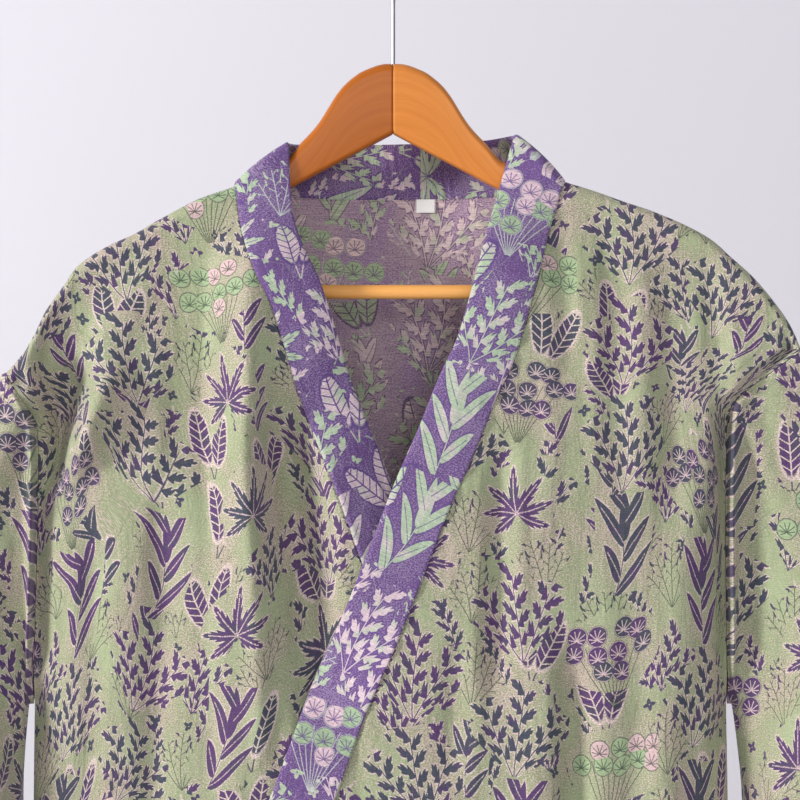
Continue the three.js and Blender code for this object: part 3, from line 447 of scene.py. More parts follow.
@dataclass(frozen=True)
class Drape:
    """How the cloth falls from the hanger: depths, turns and the run of rows.

    rows are the distances down a panel at which the frame's own sections lie.
    front_edge and back_edge are how far a panel's side edge bulges beside the
    shoulder, and how far it then stands off the middle down to the underarm.
    """

    front_y: float = -0.048
    front_bow: float = 0.014
    back_y: float = 0.026
    back_bow: float = -0.022
    front_fall: float = 0.09
    back_fall: float = 0.12
    lap: float = 0.0032
    settle: float = 0.03
    fold_start: float = 0.06
    trough_width: float = 0.016
    corner_width: float = 0.026
    arm_fold: float = 0.012
    outermost: float = 0.287
    droop_reach: float = 0.02
    fold_step: float = 0.01
    fold_fade: float = 0.07
    front_edge: tuple[float, float] = (0.021, 0.011)
    back_edge: tuple[float, float] = (0.014, 0.013)
    pucker_pitch: float = 0.023
    pucker_rise: float = 0.0011
    pucker_reach: float = 0.012
    rows: tuple = (
        0, 0.0015, 0.004, 0.008, 0.0128, 0.021, 0.031, 0.043, 0.057, 0.074, 0.095, 0.12, 0.148,
        0.18, 0.212, 0.236, 0.252, 0.268, 0.3, 0.36, 0.44, 0.56, 0.72, 0.92, 1.15,
    )
    fine_top: float = 0.03
    fine_step: float = 0.0016
    step: float = 0.0046

    @cached_property
    def falls(self) -> np.ndarray:
        """Distances down a panel, close together on the shoulder's round.

        Returns:
            The distances, from 0 to the hem.
        """
        top = np.arange(0, self.fine_top, self.fine_step)
        count = int((self.rows[-1] - self.fine_top) / self.step)
        return np.concatenate([top, np.linspace(self.fine_top, self.rows[-1], count)])

    @cached_property
    def row_at(self) -> Curve:
        """Which of the frame's rows lies at a distance down, as a number."""
        return Curve([(fall, index) for index, fall in enumerate(self.rows)])

    def radius(self, out: np.ndarray) -> np.ndarray:
        """Radius of the shoulder's round, wider past the hanger's end."""
        past = (out - WOOD_HALF_WIDTH) / self.droop_reach
        return mix(RIDGE_RADIUS, DROOP_RADIUS, smooth(past))

    def arm_y(self, out: np.ndarray) -> np.ndarray:
        """Depth of the hanger's swept arm at a distance out."""
        return WOOD_SWEEP * np.abs(out)

    def over_ridge(self, out: np.ndarray, drop: np.ndarray) -> np.ndarray:
        """How far the cloth stands off the arm's middle at a drop below it.

        Args:
            out: distance from the robe's middle.
            drop: height below the shoulder line.

        Returns:
            The half chord of a circle of the shoulder's radius.
        """
        radius = self.radius(out)
        down = 1 - np.minimum(drop, radius) / radius
        return radius * np.sqrt(np.maximum(0, 1 - down * down))

    def drop_at(self, fall: np.ndarray, out: np.ndarray) -> np.ndarray:
        """Drop below the top edge at a distance down: round the arm, then straight.

        Args:
            fall: distance down the cloth.
            out: distance from the robe's middle.

        Returns:
            The height lost, r (1 - cos) along the round and the rest in full.
        """
        radius = self.radius(out)
        turned = np.minimum(fall / radius, np.pi / 2)
        return radius * (1 - np.cos(turned)) + np.maximum(0, fall - radius * np.pi / 2)

    def height_at(self, fall: np.ndarray, out: np.ndarray, top_z: np.ndarray) -> np.ndarray:
        """Height of the cloth at a distance down a column, the last at the hem.

        Args:
            fall: distance down the panel as cut.
            out: where the column starts, from the robe's middle.
            top_z: height of the column's top.

        Returns:
            The height, the column stretched a little so that it ends at the hem.
        """
        full = self.rows[-1]
        stretch = (top_z - HEM_Z) / self.drop_at(full, out)
        stretched = fall * mix(1, stretch, smooth(fall / full))
        return np.where(fall >= full, HEM_Z, top_z - self.drop_at(stretched, out))

    def front_depth(self, half: Half, x: np.ndarray, z: np.ndarray) -> np.ndarray:
        """Depth of a front, before its edge turns to the side seam.

        Args:
            half: which half of the robe.
            x: places across.
            z: heights.

        Returns:
            The Y of the cloth's middle: the arm's round at the top, then a
            shallow bow across the chest less the folds that stand forward.
        """
        out = np.abs(x)
        drop = np.maximum(0, half.ridge_z(np.minimum(out, self.outermost)) - z)
        lap = -half.sign * self.lap * smooth(drop / 0.08)
        flat = self.front_y + self.front_bow * (x / HALF_WIDTH) ** 2
        round_y = self.arm_y(out) - self.over_ridge(out, drop)
        hung = mix(round_y, flat, smooth((drop - RIDGE_RADIUS) / self.front_fall))
        begun = smooth((drop - RIDGE_RADIUS) / self.fold_start)
        return hung + lap - fold_rise(FRONT_FOLDS + FRONT_CREASES, x, z) * begun

    def arm_fold_depth(self, half: Half, x: np.ndarray, z: np.ndarray) -> np.ndarray:
        """Rise of the fold that stands forward outside the hanger's end.

        Args:
            half: which half of the robe.
            x: places across.
            z: heights.

        Returns:
            A step up past the crease, faded in below its top and out at the seam's turn.
        """
        beyond = smooth((np.abs(x) - half.groove_curve(z)) / self.fold_step + 0.5)
        begun = smooth((half.groove[0][0] - z) / self.fold_fade)
        ended = smooth((SEAM_TURN_Z + self.fold_step - z) / (2 * self.fold_step))
        return self.arm_fold * beyond * begun * (1 - ended)

    def edge_depth(self, half: Half, z: np.ndarray, face: Face) -> np.ndarray:
        """Depth of a panel's side edge: along the sleeve seam, then the side seam.

        Args:
            half: which half of the robe.
            z: heights on the edge.
            face: the front's edge or the back's.

        Returns:
            The Y of the edge, the two faces a seam apart.
        """
        top_z, top_out = half.edge[0]
        forward, hollow = self.front_edge if face is Face.FRONT else self.back_edge
        bulge = forward * smooth((top_z - z) / 0.016) * (1 - smooth((SEAM_TURN_Z + 0.006 - z) / 0.02))
        trough = hollow * smooth((SEAM_TURN_Z + 0.012 - z) / 0.024)
        trough = trough * (1 - smooth((ARMPIT_Z + 0.034 - z) / 0.03))
        top = mix(self.arm_y(top_out), SEAM_Y, smooth((top_z - z) / 0.04))
        apart = mix(SEAM_GAP / 2, SIDE_GAP / 2, smooth((ARMPIT_Z + 0.044 - z) / 0.03))
        return top + face.value * (apart + bulge + trough)

    def beside_edge(self, half: Half, z: np.ndarray, turn: np.ndarray) -> tuple:
        """Place and depth share of the turn that ends at the side edge.

        Args:
            half: which half of the robe.
            z: heights.
            turn: from 0 where the turn starts to 1 at the edge.

        Returns:
            The distance out, and how far the depth has turned to the edge's.
        """
        corner = smooth((ARMPIT_Z + 0.02 - z) / 0.06)
        width = mix(self.trough_width, self.corner_width, corner)
        reach = np.sin(turn * np.pi / 2)
        depth = mix(smooth(reach), 1 - np.cos(turn * np.pi / 2), corner)
        return half.edge_curve(z) - width * (1 - reach), depth

    def front(
        self, half: Half, falls: np.ndarray, shares: np.ndarray, turns: np.ndarray
    ) -> np.ndarray:
        """Points of a front, a column from each share of its width.

        Args:
            half: which half of the robe.
            falls: distances down, one a row.
            shares: share of the way from the collar seam to the side turn.
            turns: how far each column has turned to the side edge.

        Returns:
            An array of rows, columns and XYZ.
        """
        fall, share, turn = falls[:, None], shares[None, :], turns[None, :]

        def across(z: np.ndarray) -> np.ndarray:
            """Distance out of each column at a height."""
            start = half.sign * half.seam_curve(z) + SEAM_GAP / 2
            return mix(start, self.beside_edge(half, z, turn)[0], share)

        edge_top = half.edge[0][0]
        top_out = mix(half.neck_out + SEAM_GAP / 2, self.beside_edge(half, edge_top, turn)[0], share)
        top_z = half.ridge_z(top_out)
        z = self.height_at(fall, top_out, top_z)
        shift = (top_out - across(top_z)) * (1 - smooth((top_z - z) / self.back_fall))
        widest = np.maximum(half.edge[0][1], half.edge_curve(z))
        out = np.minimum(across(z) + shift, widest)
        x = half.sign * out
        plain = self.front_depth(half, x, z) - self.arm_fold_depth(half, x, z) - SEAM_GAP / 2
        plain = plain + self.pucker(out - half.sign * half.seam_curve(z), z)
        turned = self.beside_edge(half, z, turn)[1] * smooth((top_z - z) / self.settle)
        y = mix(plain, self.edge_depth(half, z, Face.FRONT), turned)
        return np.stack(np.broadcast_arrays(x, y, z), axis=-1)

    def pucker(self, beside: np.ndarray, z: np.ndarray) -> np.ndarray:
        """Depth of the small waves beside the collar seam, gone at the seam itself.

        Args:
            beside: distance from the seam.
            z: heights.

        Returns:
            A wave down the seam, its pitch a little uneven, fading across the cloth.
        """
        wave = np.sin(2 * np.pi * z / self.pucker_pitch + 2.5 * np.sin(23 * z))
        fading = smooth(beside / 0.003) * np.exp(-beside / self.pucker_reach)
        return self.pucker_rise * wave * fading

    def back_top(self, half: Half, top_out: np.ndarray) -> tuple:
        """Where each back column starts, on the neck seam or on the shoulder.

        Args:
            half: which half of the robe.
            top_out: distance of the column's top from the robe's middle.

        Returns:
            The top's height, the neck seam's depth there, and if it is at the neck.
        """
        top_x = half.sign * top_out
        at_neck = top_out < half.neck_out
        return np.where(at_neck, NECK_Z(top_x), half.ridge_z(top_out)), NECK_Y(top_x), at_neck

    def back_depth(
        self, half: Half, top_out: np.ndarray, x: np.ndarray, z: np.ndarray
    ) -> np.ndarray:
        """Depth of the back below each start of a column.

        Args:
            half: which half of the robe.
            top_out: where the column starts, from the robe's middle.
            x: places across.
            z: heights.

        Returns:
            The Y of the cloth's middle, from the neck seam or the arm's round
            to a shallow bow, plus the folds.
        """
        top_z, neck_y, at_neck = self.back_top(half, top_out)
        drop = np.maximum(0, top_z - z)
        out = np.abs(x)
        on_arm = 1 - smooth((half.neck_out - top_out) / 0.036)
        root = np.where(at_neck, neck_y, self.arm_y(out)) + on_arm * self.over_ridge(out, drop)
        flat = self.back_y + self.back_bow * (x / HALF_WIDTH) ** 2
        hung = mix(root, flat, smooth((drop - on_arm * RIDGE_RADIUS) / self.back_fall))
        begun = smooth((drop - RIDGE_RADIUS) / self.fold_start)
        return hung + fold_rise(BACK_FOLDS + BACK_CREASES, x, z) * begun + SEAM_GAP / 2

    def back(
        self, half: Half, falls: np.ndarray, necks: np.ndarray, wides: np.ndarray, turns: np.ndarray
    ) -> np.ndarray:
        """Points of one half of the back, from its middle column outward.

        Args:
            half: which half of the robe.
            falls: distances down, one a row.
            necks: share of the way along the neck seam, one a column.
            wides: share of the way along the shoulder past the neck.
            turns: how far each column has turned to the side edge.

        Returns:
            An array of rows, columns and XYZ.
        """
        fall, neck, wide, turn = falls[:, None], necks[None, :], wides[None, :], turns[None, :]
        edge_top = self.beside_edge(half, half.edge[0][0], turn)[0]
        inner = half.neck_out * neck
        top_out = mix(inner, edge_top, wide)
        top_z = self.back_top(half, top_out)[0]
        z = self.height_at(fall, top_out, top_z - np.where(neck < 1, SEAM_GAP / 2, 0))
        edge_out, edge_turn = self.beside_edge(half, z, turn)
        spread = mix(inner * edge_out / edge_top, edge_out, wide)
        out = mix(top_out, spread, smooth((top_z - z) / self.back_fall))
        x = half.sign * out
        turned = edge_turn * smooth((top_z - z) / self.settle)
        plain = self.back_depth(half, top_out, x, z)
        y = mix(plain, self.edge_depth(half, z, Face.BACK), turned)
        return np.stack(np.broadcast_arrays(x, y, z), axis=-1)


DRAPE = Drape()


@dataclass
class Grid:
    """Middle points of a cloth panel and where each lies on the flat cut.

    points has rows, columns and XYZ. flat has the same rows, and one more
    column than points where the panel is closed into a ring.
    """

    points: np.ndarray
    flat: np.ndarray
    ring: bool = False

    @staticmethod
    def lengths(points: np.ndarray, axis: int) -> np.ndarray:
        """Running length of the cloth along one axis of the grid, from 0.

        Args:
            points: rows, columns and XYZ.
            axis: 0 down the rows, 1 across the columns.

        Returns:
            The length from the first row or column to each point.
        """
        step = np.linalg.norm(np.diff(points, axis=axis), axis=2)
        first = np.zeros_like(np.take(step, [0], axis=axis))
        return np.concatenate([first, np.cumsum(step, axis=axis)], axis=axis)

    @classmethod
    def of(cls, points: np.ndarray, start_u: np.ndarray, turn: int, ring: bool = False) -> "Grid":
        """Lay the panel flat by the length of its rows and columns.

        Args:
            points: rows, columns and XYZ.
            start_u: place on the cut of the first column, one a row.
            turn: 1 if the cut runs to +U with the columns, -1 if to -U.
            ring: if the last column joins the first.

        Returns:
            The grid with U across the cloth and V up it, in metres.
        """
        closed = np.concatenate([points, points[:, :1]], axis=1) if ring else points
        u = np.reshape(start_u, (-1, 1)) + turn * cls.lengths(closed, 1)
        v = closed[:1, :, 2] - cls.lengths(closed, 0)
        return cls(points, np.stack([u, v], axis=-1), ring)

    def reversed(self) -> "Grid":
        """The same panel with its columns in the other order.

        Returns:
            A grid whose normals face the other way.
        """
        order = np.arange(self.points.shape[1])[::-1]
        if self.ring:
            order = np.roll(order, 1)
        return Grid(self.points[:, order], self.flat[:, ::-1], self.ring)

    def normals(self) -> np.ndarray:
        """Unit normals: the run across each point crossed with the run down it.

        Returns:
            One normal a point.
        """
        p = self.points
        if self.ring:
            across = np.roll(p, -1, axis=1) - np.roll(p, 1, axis=1)
        else:
            across = np.gradient(p, axis=1)
        normal = np.cross(across, np.gradient(p, axis=0))
        return normal / np.maximum(np.linalg.norm(normal, axis=2, keepdims=True), 1e-12)


@dataclass
class Shell:
    """A closed thin wall on a grid, with one finish outside and one inside."""

    name: str
    grid: Grid
    thickness: np.ndarray
    outward: np.ndarray
    outside: bpy.types.Material
    inside: bpy.types.Material

    def build(self) -> bpy.types.Object:
        """Make the mesh: both faces half the thickness off the grid, and the rims.

        Returns:
            The new object, its place in its mesh.
        """
        grid = self.grid
        if np.sum(grid.normals() * self.outward) < 0:
            grid = grid.reversed()
        half = np.broadcast_to(self.thickness, grid.points.shape[:2])[..., None] / 2
        offset = grid.normals() * half
        rows, columns = grid.points.shape[:2]
        vertices = np.concatenate([
            (grid.points + offset).reshape(-1, 3), (grid.points - offset).reshape(-1, 3)
        ])
        wide = grid.flat.shape[1]
        spans = np.arange(wide - 1)
        down = np.arange(rows - 1)[:, None]
        under = rows * columns

        def quads(a: tuple, b: tuple, c: tuple, d: tuple) -> tuple:
            """Stack four corners as vertices and as flat places.

            Args:
                a: the first corner's row, column and side of the wall.
                b: the second corner's.
                c: the third corner's.
                d: the fourth corner's.

            Returns:
                Four vertices a face, and four places on the flat cut a face.
            """
            shape = np.broadcast(a[0], a[1]).shape
            corners = (a, b, c, d)
            index = [
                np.broadcast_to(r * columns + k % columns + s * under, shape) for r, k, s in corners
            ]
            place = [np.broadcast_to(r * wide + k, shape) for r, k, _ in corners]
            return np.stack(index, -1).reshape(-1, 4), np.stack(place, -1).reshape(-1, 4)

        last = rows - 1
        zero = np.zeros_like(spans)
        parts = [
            quads((down, spans, 0), (down, spans + 1, 0), (down + 1, spans + 1, 0), (down + 1, spans, 0)),
            quads((down, spans + 1, 1), (down, spans, 1), (down + 1, spans, 1), (down + 1, spans + 1, 1)),
            quads((zero, spans + 1, 0), (zero, spans, 0), (zero, spans, 1), (zero, spans + 1, 1)),
            quads(
                (zero + last, spans, 0), (zero + last, spans + 1, 0),
                (zero + last, spans + 1, 1), (zero + last, spans, 1),
            ),
        ]
        if not grid.ring:
            side, end = np.arange(rows - 1), columns - 1
            parts.append(quads((side, 0, 0), (side + 1, 0, 0), (side + 1, 0, 1), (side, 0, 1)))
            parts.append(quads((side + 1, end, 0), (side, end, 0), (side, end, 1), (side + 1, end, 1)))
        faces = np.concatenate([index for index, _ in parts])
        places = np.concatenate([place for _, place in parts])
        outer = len(parts[0][0])
        inner = np.zeros(len(faces), dtype=np.int32)
        inner[outer:2 * outer] = 1
        flat = grid.flat.reshape(-1, 2)[places.ravel()]
        return mesh_object(self.name, vertices, faces, flat, [self.outside, self.inside], inner)


def mesh_object(
    name: str,
    vertices: np.ndarray,
    faces: np.ndarray,
    flat: np.ndarray,
    finishes: list,
    finish_of: np.ndarray | None = None,
) -> bpy.types.Object:
    """Make a smooth-shaded object from arrays and link it to the scene.

    Args:
        name: the object's name.
        vertices: one XYZ a row.
        faces: corner indices, all with as many corners.
        flat: UV of each face corner in order.
        finishes: the materials.
        finish_of: which material each face has, the first where not given.

    Returns:
        The object.
    """
    corners = faces.shape[1]
    mesh = bpy.data.meshes.new(name)
    mesh.vertices.add(len(vertices))
    mesh.vertices.foreach_set("co", vertices.astype(np.float32).ravel())
    mesh.loops.add(faces.size)
    mesh.loops.foreach_set("vertex_index", faces.astype(np.int32).ravel())
    mesh.polygons.add(len(faces))
    mesh.polygons.foreach_set("loop_start", np.arange(0, faces.size, corners, dtype=np.int32))
    layer = mesh.uv_layers.new(name="flat")
    layer.data.foreach_set("uv", flat.astype(np.float32).ravel())
    for finish in finishes:
        mesh.materials.append(finish)
    if finish_of is not None:
        mesh.polygons.foreach_set("material_index", finish_of.astype(np.int32))
    mesh.polygons.foreach_set("use_smooth", np.ones(len(faces), dtype=bool))
    mesh.update(calc_edges=True)
    mesh.validate()
    piece = bpy.data.objects.new(name, mesh)
    bpy.context.collection.objects.link(piece)
    LOG.info("%s: %d faces", name, len(faces))
    return piece


@dataclass
class Front:
    """One front of the robe, from the collar seam to the side seam."""

    half: Half
    name: str
    node: str
    cut: tuple[float, float]
    flat: tuple[float, float] = (0.46, 1.15)
    area: float = 0.43
    thickness: float = 0.0009
    across: int = 96
    around: int = 14

    def grid(self, falls: np.ndarray) -> Grid:
        """The front's grid at the given distances down.

        Args:
            falls: distances down, one a row.

        Returns:
            The grid, with more columns close together at the side turn.
        """
        shares = np.concatenate([np.linspace(0, 1, self.across), np.ones(self.around)])
        turns = np.concatenate([np.zeros(self.across), np.linspace(0, 1, self.around + 1)[1:]])
        points = DRAPE.front(self.half, falls, shares, turns)
        return Grid.of(points, points[:, 0, 0], self.half.sign)

    def build(self, outside: bpy.types.Material, inside: bpy.types.Material) -> bpy.types.Object:
        """Args:
            outside: the right side's finish.
            inside: the reverse side's finish.

        Returns:
            The panel.
        """
        grid = self.grid(DRAPE.falls)
        grid.flat = grid.flat + np.array(self.cut)
        piece = Shell(self.name, grid, self.thickness, np.array([0, -1, 0]), outside, inside).build()
        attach(piece, "root")
        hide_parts(self.node)
        return piece


@dataclass
class Back:
    """The back of the robe: one panel from side to side."""

    cut: tuple[float, float] = (0.31, 0.17)
    flat: tuple[float, float] = (0.66, 1.15)
    area: float = 0.66
    thickness: float = 0.0009
    neck: int = 46
    shoulder: int = 60
    around: int = 14

    def half_points(self, half: Half, falls: np.ndarray) -> np.ndarray:
        """One half's points, from the middle column to the side edge.

        Args:
            half: which half of the robe.
            falls: distances down, one a row.

        Returns:
            An array of rows, columns and XYZ.
        """
        counts = (self.neck, self.shoulder, self.around)
        necks = np.concatenate([np.linspace(0, 1, counts[0] + 1), np.ones(counts[1] + counts[2])])
        shoulders = np.linspace(0, 1, counts[1] + 1)[1:]
        wides = np.concatenate([np.zeros(counts[0] + 1), shoulders, np.ones(counts[2])])
        turns = np.concatenate([np.zeros(counts[0] + counts[1] + 1), np.linspace(0, 1, counts[2] + 1)[1:]])
        return DRAPE.back(half, falls, necks, wides, turns)

    def build(self, outside: bpy.types.Material, inside: bpy.types.Material) -> bpy.types.Object:
        """Args:
            outside: the right side's finish.
            inside: the reverse side's finish.

        Returns:
            The panel.
        """
        left = self.half_points(LEFT, DRAPE.falls)
        right = self.half_points(RIGHT, DRAPE.falls)
        points = np.concatenate([left[:, :0:-1], right], axis=1)
        grid = Grid.of(points, np.zeros(len(points)), 1)
        middle = left.shape[1] - 1
        grid.flat[..., 0] -= grid.flat[:, middle:middle + 1, 0]
        grid.flat = grid.flat + np.array(self.cut)
        piece = Shell("back_panel", grid, self.thickness, np.array([0, 1, 0]), outside, inside).build()
        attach(piece, "root")
        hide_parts("back")
        return piece


@dataclass
class Sleeve:
    """A short wide sleeve set on the dropped shoulder, open at its cuff.

    front_depth and back_depth are how far the tube stands off the line from
    fold to underarm, flat_start is their share at the seam, and press below 1
    squares the tube. blend_by is the share of the length by which the seam's
    own shape has become the tube. lead and lead_rate push the first rings out.
    """

    half: Half
    name: str
    node: str
    beside: str
    cut: tuple[float, float]
    flat: tuple[float, float] = (0.5, 0.36)
    area: float = 0.115
    thickness: float = 0.0009
    front_depth: float = 0.042
    back_depth: float = 0.056
    ring_foot: float = 0.009
    turn_out: float = 0.016
    turn_back: float = 0.7
    lead: float = 0.0035
    lead_rate: float = 90.0
    blend_by: float = 0.32
    flat_start: float = 0.12
    press: float = 0.75
    rings_near: int = 8
    stations: int = 124

    def armhole(self) -> tuple:
        """The armhole seam as a ring, down the front's edge and up the back's.

        Returns:
            The seam's points, how far down each is, the face each is on, and
            its turn round the ring, all one a point.
        """
        half, falls = self.half, DRAPE.falls
        one = np.ones(1)
        front = DRAPE.front(half, falls, one, one)[:, 0]
        back = DRAPE.back(half, falls, one, one, one)[:, 0]
        knots = DRAPE.front(half, np.array(DRAPE.rows), one, one)[:, 0]
        used = int(np.sum(knots[:, 2] > ARMPIT_Z + self.ring_foot + 0.003))
        row = DRAPE.row_at(falls)
        keep = (row > 0) & (row <= used - 1)
        out = half.edge_curve(ARMPIT_Z)
        foot = np.array([half.sign * out, SEAM_Y, ARMPIT_Z + self.ring_foot])
        share = np.linspace(0, 1, 5)[1:-1]
        near = {}
        for face, edge in ((Face.FRONT, front), (Face.BACK, back)):
            seam = edge[keep]
            closing = seam[-1] + (foot - seam[-1]) * share[:, None]
            down = np.concatenate([row[keep] / used, mix(row[keep][-1] / used, 1, share)])
            near[face] = (np.concatenate([seam, closing]), down)
        (front_seam, front_down), (back_seam, back_down) = near[Face.FRONT], near[Face.BACK]
        top = (front[0] + back[0]) / 2
        points = np.concatenate([[top], front_seam, [foot], back_seam[::-1]])
        down = np.concatenate([[0], front_down, [1], back_down[::-1]])
        face = np.concatenate([-np.ones(len(front_seam) + 1), np.ones(len(back_seam) + 1)])
        turn = np.where(face < 0, down / 2, 1 - down / 2)
        return points, down, face, turn

    def points(self) -> np.ndarray:
        """The sleeve's points, from the armhole seam to the cuff.

        Each ring blends the seam, pushed out along the sleeve, into a tube
        between the upper fold and the underarm, pressed flat as it hangs and
        creased along its length.

        Returns:
            An array of stations, ring places and XYZ.
        """
        seam, down, face, turn = self.armhole()
        near = np.linspace(0, 0.02, self.rings_near)[:-1]
        at = np.concatenate([near, np.linspace(0.02, 1, self.stations)])[:, None]
        root, tube = self.pushed_out(seam, face, at), self.hanging(down, face, turn, at)
        return mix(root, tube, smooth(at / self.blend_by)[..., None])

    def pushed_out(self, seam: np.ndarray, face: np.ndarray, at: np.ndarray) -> np.ndarray:
        """Push the armhole seam out along the sleeve, square to the panels' edge.

        Args:
            seam: the seam's points.
            face: -1 on the front's side of the ring, 1 on the back's.
            at: shares of the way along the sleeve, one a row.

        Returns:
            An array of stations, ring places and XYZ.
        """
        half, z = self.half, seam[:, 2]
        slope = (half.edge_curve(z + 0.003) - half.edge_curve(z - 0.003)) / 0.006
        away = np.stack([np.full_like(z, half.sign), np.zeros_like(z), -slope], axis=-1)
        away /= np.linalg.norm(away, axis=1, keepdims=True)
        gap = mix(ARM_GAP, WALL / 2 + ARM_GAP, smooth((ARMPIT_Z + 0.045 - z) / 0.03))
        begin = gap + self.lead * (1 - np.exp(-at * self.lead_rate))
        turned = smooth((at - 0.002) / 0.014) * smooth((SEAM_TURN_Z + 0.015 - z) / 0.03)
        turned = turned * (1 - self.turn_back * smooth((at - 0.02) / 0.12))
        bulge = self.turn_out * turned * smooth((z - ARMPIT_Z - self.ring_foot) / 0.05)
        root = seam + away * begin[..., None]
        root[..., 1] += face * bulge
        return root

    def hanging(
        self, down: np.ndarray, face: np.ndarray, turn: np.ndarray, at: np.ndarray
    ) -> np.ndarray:
        """The pressed tube that the sleeve hangs in, with its creases.

        Its rings run on a half circle's cosine from the upper fold down to the
        underarm, and stand off that line by depth sin(pi down)^press.

        Args:
            down: how far down each ring place is, from 0 to 1.
            face: -1 on the front's side of the ring, 1 on the back's.
            turn: places round the ring, from 0 to 1.
            at: shares of the way along the sleeve, one a row.

        Returns:
            An array of stations, ring places and XYZ.
        """
        half, top_out = self.half, self.half.arm_out(at)
        start_out = half.edge_curve(ARMPIT_Z) + 0.007
        top = np.stack([half.sign * top_out, DRAPE.arm_y(top_out), half.arm_z(at)], axis=-1)
        low = np.stack([
            half.sign * mix(start_out, half.cuff[0], at),
            np.full_like(at, SEAM_Y - 0.002),
            mix(ARMPIT_Z + 0.002, half.cuff[1], at),
        ], axis=-1)
        opened = mix(self.flat_start, 1, smooth((at - 0.06) / 0.6))
        depth = np.where(face < 0, self.front_depth, self.back_depth) * opened
        tube = mix(top, low, ((1 - np.cos(np.pi * down)) / 2)[:, None])
        tube[..., 1] += face * depth * np.sin(np.pi * down) ** self.press
        radial = tube - (top + low) / 2
        radial /= np.linalg.norm(radial, axis=2, keepdims=True)
        return tube + radial * (self.creases(turn, at) * smooth((at - 0.05) / 0.35))[..., None]

    def laid_flat(self, points: np.ndarray) -> np.ndarray:
        """Lay the sleeve flat: its front as it hangs, its back turned out about the underarm.

        Args:
            points: stations, ring places and XYZ.

        Returns:
            Places on the flat cloth, with one more column, which closes the ring.
        """
        turn = np.append(self.armhole()[3], 1.0)
        closed = np.concatenate([points, points[:, :1]], axis=1)
        under = int(np.argmin(np.abs(turn - 0.5)))
        run = Grid.lengths(closed * np.array([1.0, 1.0, 0.0]), 1)
        rolled = np.abs(closed[:, under:under + 1, 0]) + np.abs(run - run[:, under:under + 1])
        along = smooth((np.linspace(0, 1, len(points)) - 0.12) / 0.3)[:, None]
        out = mix(np.abs(closed[..., 0]), rolled, along)
        laid = np.stack([self.half.sign * out, closed[..., 2]], axis=-1)
        fold = laid[:, under]
        line = (fold[-1] - fold[0]) / np.linalg.norm(fold[-1] - fold[0])
        off = laid - fold[0]
        turned = fold[0] + 2 * (off @ line)[..., None] * line - off
        return np.where((turn > 0.5)[None, :, None], turned, laid)

    def creases(self, turn: np.ndarray, at: np.ndarray) -> np.ndarray:
        """Rise of the long creases round the ring, each leaning a little.

        Args:
            turn: places round the ring, from 0 to 1.
            at: shares of the way along the sleeve.

        Returns:
            The sum of a bell across each crease.
        """
        rise = np.zeros(np.broadcast(turn, at).shape)
        for place, height, half_width, lean in SLEEVE_CREASES:
            across = (turn - place - lean * np.sin(3.1 * at + 9 * place)) / half_width
            rise = rise + height * np.exp(-across * across)
        return rise

    def build(self, outside: bpy.types.Material, inside: bpy.types.Material) -> bpy.types.Object:
        """Args:
            outside: the right side's finish.
            inside: the reverse side's finish.

        Returns:
            The sleeve.
        """
        points = self.points()
        grid = Grid(points, self.laid_flat(points) + np.array(self.cut), True)
        outward = points - points.mean(axis=1, keepdims=True)
        piece = Shell(self.name, grid, self.thickness, outward, outside, inside).build()
        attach(piece, "root")
        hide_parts(self.node)
        return piece


